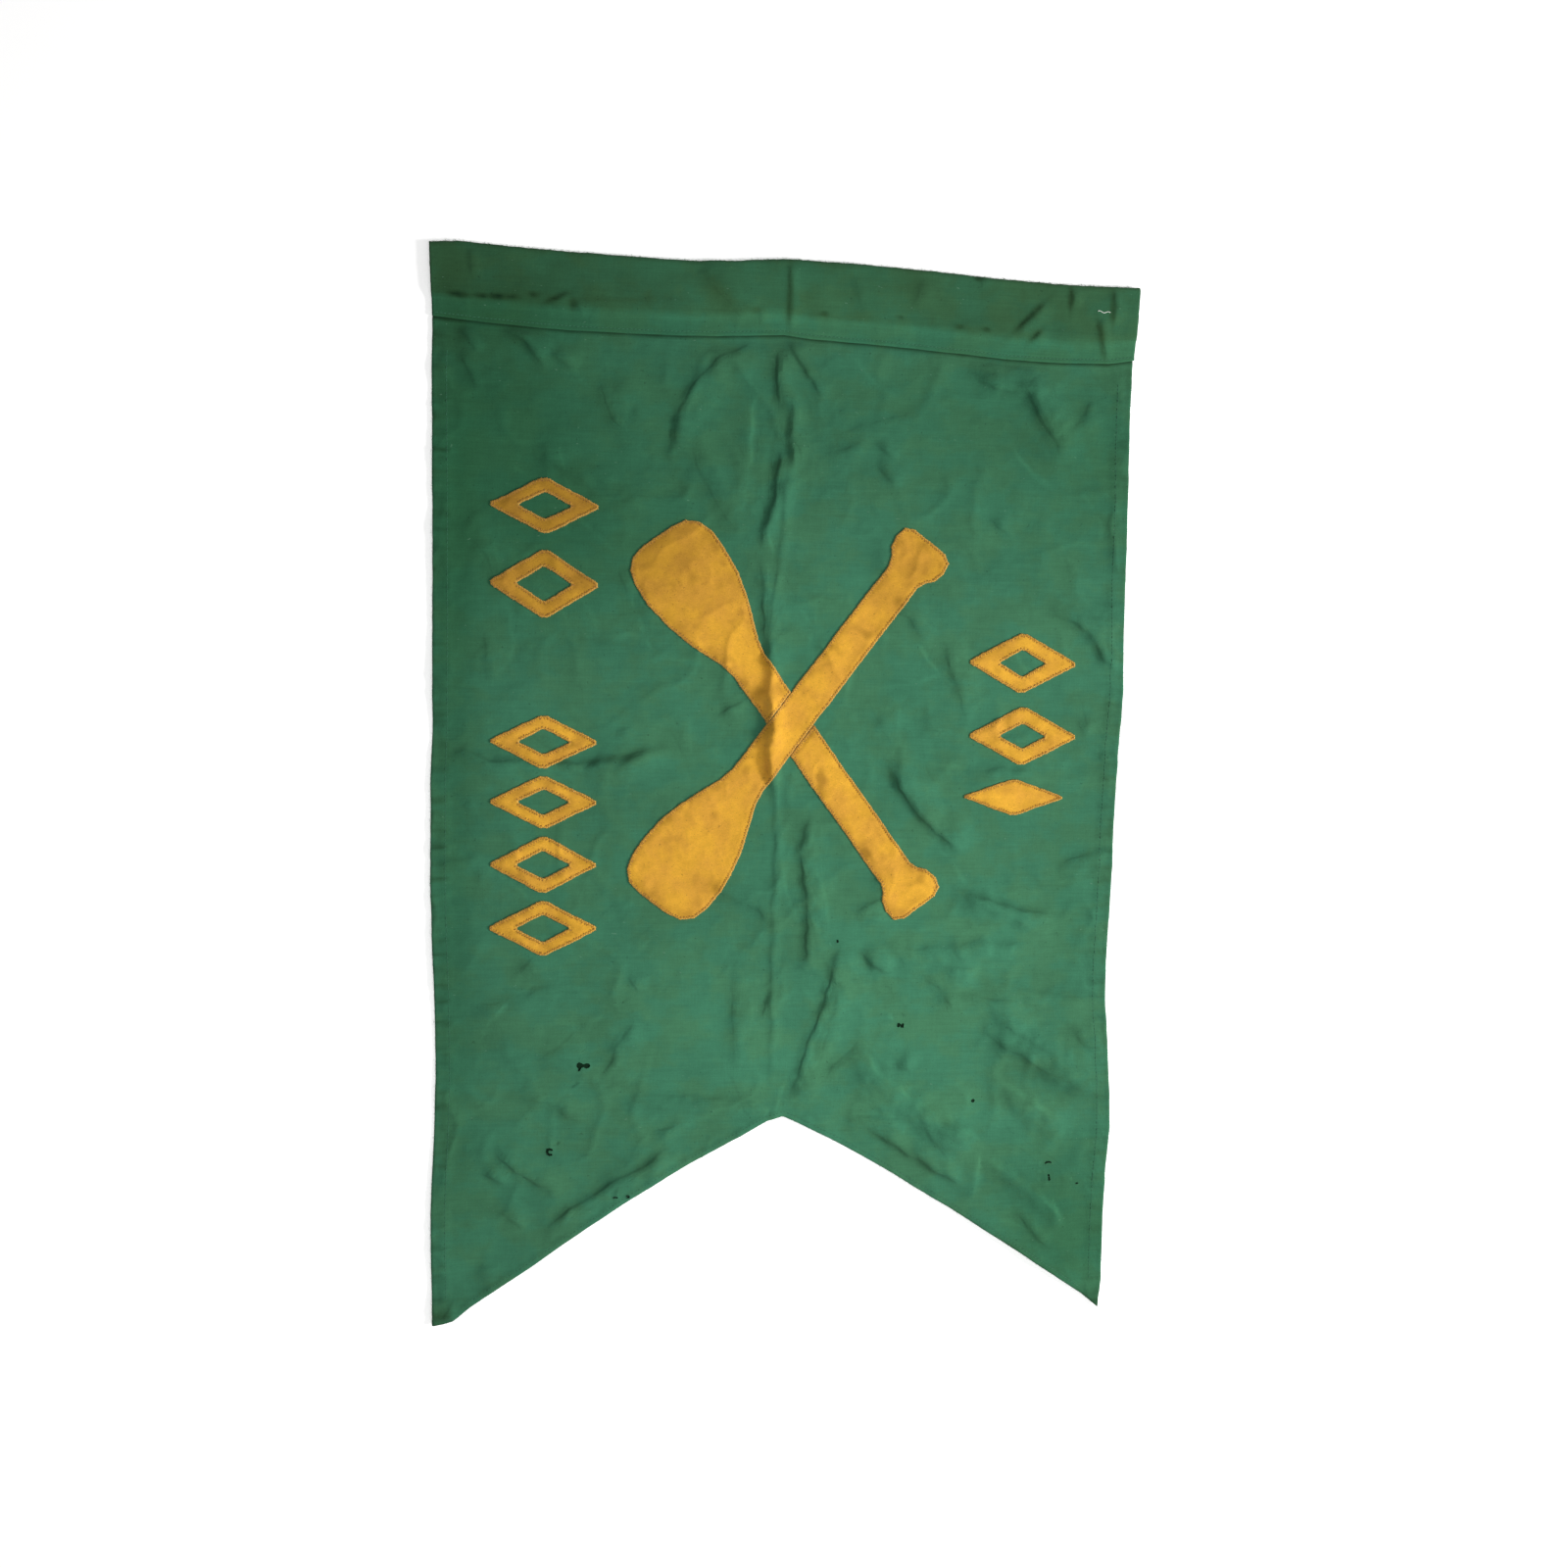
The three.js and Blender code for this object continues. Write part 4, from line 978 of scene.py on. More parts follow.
def cut_back(loop, keep_side):
    """The rear paddle's piece with the front paddle's width taken off it."""
    a = math.radians(PADDLE["tilt"])
    nx, ny = -math.sin(a), math.cos(a)              # across the front paddle
    pts = refine(loop, 1.0)
    d = (pts[:, 0] - PADDLE["x"]) * nx + (pts[:, 1] - PADDLE["y"]) * ny
    ok = d * keep_side > 14.2
    start = int(np.nonzero(ok & ~np.roll(ok, 1))[0][0])
    order = [(start + k) % len(pts) for k in range(len(pts)) if ok[(start + k) % len(pts)]]
    body_pts = pts[order]

    def to_line(p, q):
        dp = (p[0] - PADDLE["x"]) * nx + (p[1] - PADDLE["y"]) * ny
        dq = (q[0] - PADDLE["x"]) * nx + (q[1] - PADDLE["y"]) * ny
        t = (14.2 * keep_side - dp) / (dq - dp)
        return p + (q - p) * t

    first, second = body_pts[0], body_pts[1]
    last, before = body_pts[-1], body_pts[-2]
    return np.concatenate([[to_line(first, 2 * first - second)], body_pts, [to_line(last, 2 * last - before)]])


def lay_on(x, y):
    """What a sewn piece rests on: the cloth's top."""
    return top(x, y)


def felt_piece(name, outline, hole, seed):
    r = np.random.default_rng(seed)
    loops = [ccw(outline)] + ([ccw(hole)[::-1]] if hole is not None else [])
    fine = []
    for l in loops:
        p = refine(l, 0.85)
        m = len(p)
        d = np.roll(p, -1, 0) - np.roll(p, 1, 0)
        d /= np.hypot(d[:, 0], d[:, 1])[:, None] + 1e-9
        out = np.stack([d[:, 1], -d[:, 0]], 1)
        fuzz = 0.10 * r.standard_normal(m) + 0.22 * noise(p[:, 0], p[:, 1], 4, seed) + 0.35 * noise(p[:, 0], p[:, 1], 19, seed + 1)
        fine.append(p + out * np.clip(fuzz, -0.5, 0.5)[:, None])
    lo, hi = fine[0].min(0), fine[0].max(0)
    gx, gy = np.meshgrid(np.arange(lo[0], hi[0], 1.25), np.arange(lo[1], hi[1], 1.25))
    fill = np.stack([gx.ravel(), gy.ravel()], 1) + r.uniform(-0.3, 0.3, (gx.size, 2))
    ok = inside(fill[:, 0], fill[:, 1], fine[0])
    for l in fine[1:]:
        ok &= ~inside(fill[:, 0], fill[:, 1], l)
    fill = fill[ok]
    dist = np.min([loop_distance(fill[:, 0], fill[:, 1], l) for l in fine], 0)
    fill = fill[dist > 1.15]
    rings = []
    for l in fine:
        d = np.roll(l, -2, 0) - np.roll(l, 2, 0)
        d /= np.hypot(d[:, 0], d[:, 1])[:, None] + 1e-9
        out = np.stack([d[:, 1], -d[:, 0]], 1)
        for step in (0.35, 0.8):
            rings.append(l - out * step)
    rings = np.concatenate(rings)
    ok = inside(rings[:, 0], rings[:, 1], fine[0])
    for l in fine[1:]:
        ok &= ~inside(rings[:, 0], rings[:, 1], l)
    rings = rings[ok]
    dist = np.min([loop_distance(rings[:, 0], rings[:, 1], l) for l in fine], 0)
    rings = rings[dist > 0.22]
    pts = np.concatenate(fine + [rings, fill])
    idx, at = [], 0
    for l in fine:
        idx.append(list(range(at, at + len(l))))
        at += len(l)
    xy, tri, back = cdt(pts, idx)
    cen = xy[tri].mean(1)
    ok = inside(cen[:, 0], cen[:, 1], fine[0])
    for l in fine[1:]:
        ok &= ~inside(cen[:, 0], cen[:, 1], l)
    tri = tri[ok]
    p, q, s = xy[tri[:, 0]], xy[tri[:, 1]], xy[tri[:, 2]]
    cw = (q[:, 0] - p[:, 0]) * (s[:, 1] - p[:, 1]) - (q[:, 1] - p[:, 1]) * (s[:, 0] - p[:, 0]) < 0
    tri[cw] = tri[cw][:, ::-1]
    dist = np.min([loop_distance(xy[:, 0], xy[:, 1], l) for l in fine], 0)
    x, y = xy[:, 0], xy[:, 1]
    base = lay_on(x, y)
    thick = FELT * (0.50 + 0.50 * (1 - np.exp(-dist / 0.45)))
    thick -= 0.42 * np.exp(-((dist - 1.9) / 0.8) ** 2)
    thick += 0.05 * noise(x, y, 2.2, seed + 2) + 0.07 * noise(x, y, 6, seed + 3) + 0.05 * r.standard_normal(len(x)) * np.exp(-dist / 1.2)
    hi_z, lo_z = base + 0.1 + thick, base + 0.1
    m = len(xy)
    verts = np.concatenate([np.stack([x, y, hi_z], 1), np.stack([x, y, lo_z], 1)])
    faces = [tri, tri[:, ::-1] + m]
    where = {int(back[k]): k for k in range(m) if back[k] >= 0}
    wall = []
    for l in idx:
        for k in range(len(l)):
            u, v = where.get(l[k]), where.get(l[(k + 1) % len(l)])
            if u is None or v is None:
                continue
            wall += [(u + m, v + m, v), (u + m, v, u)]
    faces.append(np.array(wall))
    edge = np.exp(-dist / 0.55)
    grime = 0.55 * np.exp(-((dist - 2.1) / 0.7) ** 2) * np.clip(0.45 + 0.9 * noise(x, y, 4, seed + 4), 0, 1)
    grime += 0.42 * np.exp(-((dist - 4.0) / 3.2) ** 2) * np.clip(0.35 + noise(x, y, 15, seed + 5), 0, 1)
    grime += 0.25 * np.clip(0.2 + noise(x, y, 8, seed + 8), 0, 1) * soft((-120 - x) / 30)
    grime += 0.65 * np.clip(noise(x, y, 11, seed + 6) * noise(x, y, 26, seed + 7) * 2.4 - 0.15, 0, 1)
    for cx, cy, rad, kk in FELT_MARKS:
        grime += kk * blob(x, y, cx, cy, rad, rad * 0.7, 30)
    soil = np.clip(grime, 0, 1)
    # fade on the felt: the cloth's fading and painted light and shade, lightened further on the left-hand lozenges and
    # a little on the right.
    obj = make_mesh(name, verts, np.concatenate(faces), {
        "soil": np.concatenate([soil, soil]), "edge": np.concatenate([edge, edge]), "fade": np.concatenate([fade_and_light_at(x, y) + 0.11 * soft((-120 - x) / 30) * soft((120 - y) / 80) + 0.03 * soft((x - 110) / 30)] * 2)})
    flat = abs(area_of(fine[0])) - sum(abs(area_of(l)) for l in fine[1:])
    return obj, fine, flat


FELT_MARKS = [(-62, 206, 3.0, 0.6), (-94, 198, 6, 0.25), (-40, 182, 7, 0.22), (-13, 86, 7, 0.30), (-16, 110, 5, 0.25),
              (14, 60, 10, 0.22), (-96, -72, 9, 0.22), (92, 176, 9, 0.35), (96, 190, 6, 0.35), (86, 165, 5, 0.3),
              (-108, 168, 30, 0.20), (-80, 185, 26, 0.16), (100, 172, 26, 0.22), (60, -30, 8, 0.22), (96, -70, 7, 0.25), (-60, -60, 8, 0.18), (0, 40, 6, 0.2), (104, -84, 5, 0.3)]

front = paddle(False)
felt_plan = [("felt_paddle_front", ["paddle_front"], front, None),
             ("felt_paddle_rear_blade", ["paddle_rear_blade"], cut_back(paddle(True, 0, "blade"), 1), None),
             ("felt_paddle_rear_shaft", ["paddle_rear_shaft"], cut_back(paddle(True, 0, "shaft"), -1), None)]
for name, x, y, hx, hy, border in LOZENGES:
    reach = hx * hy / math.hypot(hx, hy)
    kk = (reach - border) / reach if border else 0
    felt_plan.append(("felt_" + name, [name], lozenge(x, y, hx, hy), lozenge(x, y, hx * kk, hy * kk) if border else None))
felts = []
for q, (name, nodes, outline, hole) in enumerate(felt_plan):
    obj, fine, flat = felt_piece(name, outline, hole, 200 + 11 * q)
    felts.append((obj, nodes, fine, flat))


# ------------------------------------------------------------- the stitches --
def tubes(name, paths, radii, sides=5, soil=None):
    """One joined mesh of short round threads. paths: list of (n, 3) arrays."""
    verts, faces, marks, at = [], [], [], 0
    ring = np.arange(sides) * 2 * math.pi / sides
    for path, rad, mark in zip(paths, radii, soil if soil is not None else [None] * len(paths)):
        p = np.asarray(path, float)
        m = len(p)
        t = np.gradient(p, axis=0)
        t /= np.linalg.norm(t, axis=1)[:, None] + 1e-12
        up = np.tile([0.0, 0.0, 1.0], (m, 1))
        up[np.abs(t[:, 2]) > 0.93] = (1.0, 0.0, 0.0)
        s1 = np.cross(t, up)
        s1 /= np.linalg.norm(s1, axis=1)[:, None] + 1e-12
        s2 = np.cross(s1, t)
        rr = np.full(m, rad) if np.isscalar(rad) else np.asarray(rad)
        v = (p[:, None, :] + rr[:, None, None] * (np.cos(ring)[None, :, None] * s1[:, None, :]
                                                    + np.sin(ring)[None, :, None] * s2[:, None, :]))
        verts.append(v.reshape(-1, 3))
        k, i = np.meshgrid(np.arange(m - 1), np.arange(sides), indexing="ij")
        a, b = at + k * sides + i, at + k * sides + (i + 1) % sides
        quad = np.stack([a.ravel(), b.ravel(), (b + sides).ravel(), (a + sides).ravel()], 1)
        faces.append(quad[:, [0, 3, 2, 1]])
        for e, rev in ((0, False), (m - 1, True)):
            base = at + e * sides
            fan = [(base, base + q, base + q + 1) for q in range(1, sides - 1)]
            for f in fan:
                g = f if not rev else f[::-1]
                faces.append(np.array([[g[0], g[1], g[2], g[2]]]))
        mk = np.zeros(m) if mark is None else np.asarray(mark)
        marks.append(np.repeat(mk, sides))
        at += m * sides
    verts = np.concatenate(verts)
    allf = np.concatenate(faces)
    tri = allf[allf[:, 2] == allf[:, 3]][:, :3]
    quad = allf[allf[:, 2] != allf[:, 3]]
    return make_mesh(name, verts, [quad, tri], {"soil": np.concatenate(marks)})


def walk(loop, closed=True):
    p = np.asarray(loop, float)
    if closed:
        p = np.concatenate([p, p[:1]])
    seg = np.hypot(*(p[1:] - p[:-1]).T)
    run = np.concatenate([[0], np.cumsum(seg)])

    def at(s):
        s = np.clip(s, 0, run[-1] - 1e-6)
        x, y = np.interp(s, run, p[:, 0]), np.interp(s, run, p[:, 1])
        x1, y1 = np.interp(s + 0.6, run, p[:, 0]), np.interp(s + 0.6, run, p[:, 1])
        x0, y0 = np.interp(s - 0.6, run, p[:, 0]), np.interp(s - 0.6, run, p[:, 1])
        d = np.stack([x1 - x0, y1 - y0], -1)
        d = d / (np.linalg.norm(d, axis=-1, keepdims=True) + 1e-9)
        return np.stack([x, y], -1), d
    return at, run[-1]


def zigzag(outline, closed_ccw, seed):
    """Legs of a zigzag seam: from just off the felt's edge to 2.4 mm inside."""
    r = np.random.default_rng(seed)
    at, total = walk(outline)
    pitch = 0.98
    count = int(total / pitch)
    pitch = total / count
    pts = []
    for k in range(count + 1):
        s = (k + 0.12 * r.standard_normal()) * pitch
        p, d = at(s)
        inward = np.array([-d[1], d[0]]) * closed_ccw
        reach = (2.35 if k % 2 else -0.35) + 0.13 * r.standard_normal()
        pts.append(p + inward * reach)
    return np.array(pts)


def felt_top(x, y, fine):
    dist = np.min([loop_distance(x, y, l) for l in fine], 0)
    on = inside(x, y, fine[0])
    for l in fine[1:]:
        on &= ~inside(x, y, l)
    thick = FELT * (0.50 + 0.50 * (1 - np.exp(-dist / 0.45))) - 0.42 * np.exp(-((dist - 1.9) / 0.8) ** 2)
    return lay_on(x, y) + np.where(on, 0.1 + thick, 0.0), dist


zig_objs = []
for q, (obj, nodes, fine, flat) in enumerate(felts):
    paths, marks = [], []
    for l in fine:
        # outer loops run anticlockwise, holes clockwise: the felt is on the left of both
        z = zigzag(l, 1, 700 + q)
        mid = []
        for t in (0.0, 0.22, 0.5, 0.78, 1.0):
            mid.append(z[:-1] * (1 - t) + z[1:] * t)
        M = np.stack(mid, 1)
        zz, dd = felt_top(M[..., 0].ravel(), M[..., 1].ravel(), fine)
        zz = zz.reshape(M.shape[:2])
        lift = np.array([-0.10, 0.14, 0.20, 0.14, -0.10])
        for k in range(len(M)):
            paths.append(np.column_stack([M[k], np.maximum.accumulate(zz[k]) * 0 + zz[k] + lift]))
            inner_last = (k % 2 == 0)
            grad = np.array([0.1, 0.15, 0.25, 0.55, 1.0])
            marks.append(grad if inner_last else grad[::-1])
    o = tubes("stitch_" + obj.name[5:], paths, [0.17] * len(paths), 4, marks)
    zig_objs.append(o)


def running(line, z_at, length=2.3, gap=0.55, rad=0.19, seed=0, closed=False, lift=0.12):
    r = np.random.default_rng(seed)
    at, total = walk(line, closed)
    paths, s = [], 0.6
    while s + length < total:
        a = s + np.linspace(0, 1, 5) * length * (1 + 0.07 * r.standard_normal())
        p, d = at(a)
        side = np.stack([-d[:, 1], d[:, 0]], -1) * (0.08 * r.standard_normal() + 0.05 * np.linspace(-1, 1, 5)[:, None])
        p = p + side
        z = z_at(p[:, 0], p[:, 1])
        paths.append(np.column_stack([p, z + np.array([-0.15, lift * 0.7, lift, lift * 0.7, -0.15])]))
        s += length + gap
    return paths


paths = []
ys = np.arange(-368, 318, 2.0)
hemw = HEM_W - 1.7
paths += running(np.stack([left_at(ys) + hemw, ys], 1), top, seed=1)
paths += running(np.stack([right_at(ys) - hemw, ys], 1), top, seed=2)
xs = np.arange(-238, 240, 2.0)
grade = (fork_at(xs + 3) - fork_at(xs - 3)) / 6
paths += running(np.stack([xs, fork_at(xs) + 3.7 * np.sqrt(1 + grade * grade)], 1), top, seed=3)
xs = np.arange(-254, 250.5, 1.5)
paths += running(np.stack([xs, seam_at(xs) + 2.6], 1), sleeve_top, seed=4)
seam_stitches = tubes("seam_stitches", paths, [0.19] * len(paths), 5)

# frayed fibres along the worn edges, and the loose thread by the sleeve's end
fib, rad = [], []
r = np.random.default_rng(77)


def fibre(x, y, z, angle, length, curl, rise):
    t = np.linspace(0, 1, 4)
    a = angle + curl * t
    px = x + np.cumsum(np.cos(a)) * length / 4
    py = y + np.cumsum(np.sin(a)) * length / 4
    return np.column_stack([px, py, z + rise * np.sin(t * math.pi * 0.7)])


for _ in range(620):
    y = r.uniform(-380, 320)
    lft = r.random() < 0.5
    x = left_at(y) + 0.2 if lft else right_at(y) - 0.2
    z = float(top(np.array([x + (0.6 if lft else -0.6)]), np.array([y]))[0]) - 0.4
    base = math.pi if lft else 0
    fib.append(fibre(x, y, max(z, 0.3), base + r.normal(0, 0.7), r.uniform(0.6, 1.7), r.normal(0, 1.2), r.uniform(0, 0.5)))
    rad.append(0.055)
for _ in range(420):
    x = r.uniform(-250, 248)
    y = fork_at(x)
    z = float(top(np.array([x]), np.array([y + 1.0]))[0]) - 0.4
    fib.append(fibre(x, y + 0.2, max(z, 0.3), -math.pi / 2 + r.normal(0, 0.8), r.uniform(0.5, 1.5), r.normal(0, 1.2), r.uniform(0, 0.4)))
    rad.append(0.055)
for _ in range(1150):
    x = r.uniform(-255, 251)
    y = hoist_at(x)
    z = r.uniform(1.5, 5.5)
    fib.append(fibre(x, y - 1.0, z, math.pi / 2 + r.normal(0, 0.8), r.uniform(0.9, 1.9), r.normal(0, 1.6), r.uniform(-0.2, 0.4)))
    rad.append(0.075)
for raw in HOLES:
    loop = refine(ccw(np.array(raw) - OFF), 0.9)
    c = loop.mean(0)
    for p in loop[::2]:
        ang = math.atan2(c[1] - p[1], c[0] - p[0]) + r.normal(0, 0.6)
        z = float(top(np.array([p[0]]), np.array([p[1]]))[0]) + 0.05
        fib.append(fibre(p[0], p[1], z, ang, r.uniform(0.7, 1.5), r.normal(0, 1.0), -0.15))
        rad.append(0.07)
frays = tubes("frayed_threads", fib, rad, 3)

gold_fib = []
for obj, nodes, fine, flat in felts:
    for l in fine:
        at, total = walk(l)
        for _ in range(int(total * 0.75)):
            p, d = at(r.uniform(0, total))
            out = math.atan2(-d[0], d[1])
            zc = float(lay_on(np.array([p[0]]), np.array([p[1]]))[0])
            gold_fib.append(fibre(p[0] - d[1] * 0.2, p[1] + d[0] * 0.2, zc + r.uniform(0.3, 0.9), out + r.normal(0, 0.7),
                                  r.uniform(0.4, 1.0), r.normal(0, 1.4), r.uniform(-0.1, 0.3)))
felt_fuzz = tubes("felt_edge_fuzz", gold_fib, [0.05] * len(gold_fib), 3)

lx = np.linspace(220.4, 229.8, 16)
ly = 365.9 - 0.2 * (lx - 220) * 0.3 + 0.55 * np.sin((lx - 220) * 0.95)
loose = tubes("loose_white_thread", [np.column_stack([lx, ly, sleeve_top(lx, ly) + 0.22])], [0.26], 6)

# ---------------------------------------------------------------- materials --
def nodes_of(name):
    m = bpy.data.materials.new(name)
    m.use_nodes = True
    nt = m.node_tree
    nt.nodes.clear()
    out = nt.nodes.new("ShaderNodeOutputMaterial")
    bsdf = nt.nodes.new("ShaderNodeBsdfPrincipled")
    nt.links.new(bsdf.outputs[0], out.inputs[0])
    return m, nt, bsdf


class Graph:
    def __init__(self, nt):
        self.nt = nt
        tc = nt.nodes.new("ShaderNodeTexCoord")
        self.obj = tc.outputs["Object"]

    def put(self, socket, value):
        if isinstance(value, bpy.types.NodeSocket):
            self.nt.links.new(value, socket)
        else:
            socket.default_value = value

    def space(self, scale, turn=0.0):
        n = self.nt.nodes.new("ShaderNodeMapping")
        n.inputs["Scale"].default_value = scale
        n.inputs["Rotation"].default_value = (0, 0, turn)
        self.nt.links.new(self.obj, n.inputs["Vector"])
        return n.outputs[0]

    def noise(self, size, detail=2.0, rough=0.5, stretch=(1, 1), turn=0.0, warp=0.0):
        n = self.nt.nodes.new("ShaderNodeTexNoise")
        n.inputs["Scale"].default_value = 1.0
        n.inputs["Detail"].default_value = detail
        n.inputs["Roughness"].default_value = rough
        n.inputs["Distortion"].default_value = warp
        k = 1000.0 / size
        self.nt.links.new(self.space((k / stretch[0], k / stretch[1], k), turn), n.inputs["Vector"])
        return n.outputs[0]

    def wave(self, pitch, axis):
        n = self.nt.nodes.new("ShaderNodeTexWave")
        n.bands_direction = axis
        n.inputs["Scale"].default_value = 0.3141593 * 1000.0 / pitch
        n.inputs["Distortion"].default_value = 0.6
        n.inputs["Detail"].default_value = 1.0
        n.inputs["Detail Scale"].default_value = 0.35
        self.nt.links.new(self.obj, n.inputs["Vector"])
        return n.outputs["Fac"]

    def attr(self, name):
        n = self.nt.nodes.new("ShaderNodeAttribute")
        n.attribute_name = name
        return n.outputs["Fac"]

    def span(self, value, lo, hi, to_lo=0.0, to_hi=1.0, smooth=False):
        n = self.nt.nodes.new("ShaderNodeMapRange")
        n.interpolation_type = "SMOOTHSTEP" if smooth else "LINEAR"
        n.inputs["From Min"].default_value = lo
        n.inputs["From Max"].default_value = hi
        n.inputs["To Min"].default_value = to_lo
        n.inputs["To Max"].default_value = to_hi
        self.put(n.inputs["Value"], value)
        return n.outputs[0]

    def math(self, op, a, b=0.0, clamp=False):
        n = self.nt.nodes.new("ShaderNodeMath")
        n.operation = op
        n.use_clamp = clamp
        self.put(n.inputs[0], a)
        self.put(n.inputs[1], b)
        return n.outputs[0]

    def mix(self, fac, a, b, blend="MIX"):
        n = self.nt.nodes.new("ShaderNodeMix")
        n.data_type = "RGBA"
        n.blend_type = blend
        self.put(n.inputs[0], fac)
        self.put(n.inputs[6], a if isinstance(a, bpy.types.NodeSocket) else (*a, 1))
        self.put(n.inputs[7], b if isinstance(b, bpy.types.NodeSocket) else (*b, 1))
        return n.outputs[2]

    def scale(self, colour, by):
        n = self.nt.nodes.new("ShaderNodeVectorMath")
        n.operation = "SCALE"
        self.put(n.inputs[0], colour)
        self.put(n.inputs["Scale"], by)
        return n.outputs[0]

    def bump(self, height, distance, strength=1.0, normal=None):
        n = self.nt.nodes.new("ShaderNodeBump")
        n.inputs["Distance"].default_value = distance
        n.inputs["Strength"].default_value = strength
        self.put(n.inputs["Height"], height)
        if normal is not None:
            self.put(n.inputs["Normal"], normal)
        return n.outputs[0]


def set_plain(bsdf, rough, sheen, tint, spec=0.2, sheen_rough=0.5):
    bsdf.inputs["Roughness"].default_value = rough
    bsdf.inputs["Specular IOR Level"].default_value = spec
    bsdf.inputs["Sheen Weight"].default_value = sheen
    bsdf.inputs["Sheen Roughness"].default_value = sheen_rough
    bsdf.inputs["Sheen Tint"].default_value = (*tint, 1)


def cotton(name, teal, olive, deep, dirt_and_shade_tint, dark=1.0):
    m, nt, bsdf = nodes_of(name)
    g = Graph(nt)
    patch = g.span(g.noise(26, 4, 0.6, stretch=(1.4, 1)), 0.40, 0.60, smooth=True)
    base = g.mix(g.span(patch, 0.0, 1.0, 0.22, 0.78), teal, olive)
    mottle = g.span(g.noise(9, 4, 0.55), 0.3, 0.7, 0.965, 1.035)
    broad = g.span(g.noise(52, 4, 0.55, stretch=(1.5, 1), turn=0.4, warp=0.8), 0.36, 0.64, 0.95, 1.05)
    across = g.span(g.noise(0.9, 2, 0.6, stretch=(26, 1)), 0.25, 0.75, 0.94, 1.06)
    along = g.span(g.noise(0.9, 2, 0.6, stretch=(1, 22)), 0.25, 0.75, 0.96, 1.04)
    weft = g.span(g.noise(2.6, 3, 0.6, stretch=(16, 1)), 0.3, 0.7, 0.96, 1.04)
    grain = g.span(g.noise(0.75, 3, 0.7), 0.25, 0.75, 0.93, 1.07)
    k = g.math("MULTIPLY", g.math("MULTIPLY", mottle, broad), g.math("MULTIPLY", across, along))
    k = g.math("MULTIPLY", g.math("MULTIPLY", k, weft), grain)
    # fade: fading and painted light and shade, towards the deep colour or lighter.
    fade = g.attr("fade")
    base = g.mix(g.span(fade, -0.62, 0.0, 1.0, 0.0), base, deep)
    k = g.math("MULTIPLY", k, g.math("ADD", g.math("MAXIMUM", fade, 0.0), dark))
    speck = g.span(g.noise(2.6, 2, 0.5), 0.70, 0.76, 1.0, 0.72)
    k = g.math("MULTIPLY", k, speck)
    # painted shade darkens the valley of a pressed line and a painted highlight lightens its crest
    line, press = g.attr("line"), g.attr("press")
    valley_shade = g.math("MULTIPLY", g.span(g.math("ABSOLUTE", line), 0.3, 1.7, 1.0, 0.0, smooth=True), g.math("MAXIMUM", press, 0.0))
    crest_highlight = g.math("MULTIPLY", g.span(g.math("ABSOLUTE", line), 0.5, 3.4, 1.0, 0.0, smooth=True), g.math("MAXIMUM", g.math("MULTIPLY", press, -1.0), 0.0))
    k = g.math("MULTIPLY", k, g.math("SUBTRACT", 1.0, g.math("MULTIPLY", valley_shade, 0.08)))
    k = g.math("MULTIPLY", k, g.math("ADD", 1.0, g.math("MULTIPLY", crest_highlight, 0.20)))
    base = g.scale(base, k)
    dirtied_and_shaded = g.mix(1.0, base, dirt_and_shade_tint, "MULTIPLY")
    base = g.mix(g.math("MULTIPLY", g.attr("soil"), 0.95, clamp=True), base, dirtied_and_shaded)
    lint = g.span(g.noise(1.7, 1, 0.4, stretch=(2.2, 1), turn=0.7), 0.78, 0.82, 0.0, 0.38)
    base = g.mix(lint, base, (0.14, 0.28, 0.19))
    # Near-black painted shade on the hole floors and under the flap's edge; on the sleeve, dark marks and painted
    # crease shade.
    base = g.mix(g.attr("pit"), base, (0.0025, 0.020, 0.0075))
    g.put(bsdf.inputs["Base Color"], base)
    set_plain(bsdf, 0.93, 0.06, (0.55, 0.85, 0.65), 0.12)
    weave = g.math("MULTIPLY", g.wave(0.62, "X"), g.wave(0.66, "Y"))
    n1 = g.bump(weave, 0.00004)
    n2 = g.bump(g.noise(1.5, 4, 0.65), 0.00012, normal=n1)
    n3 = g.bump(g.noise(6.5, 3, 0.55, stretch=(1.6, 1), turn=0.5), 0.00035, normal=n2)
    step = g.span(line, -1.35, 1.35, smooth=True)
    n4 = g.bump(g.math("MULTIPLY", step, press), 0.00031, normal=n3)
    g.put(bsdf.inputs["Normal"], n4)
    return m


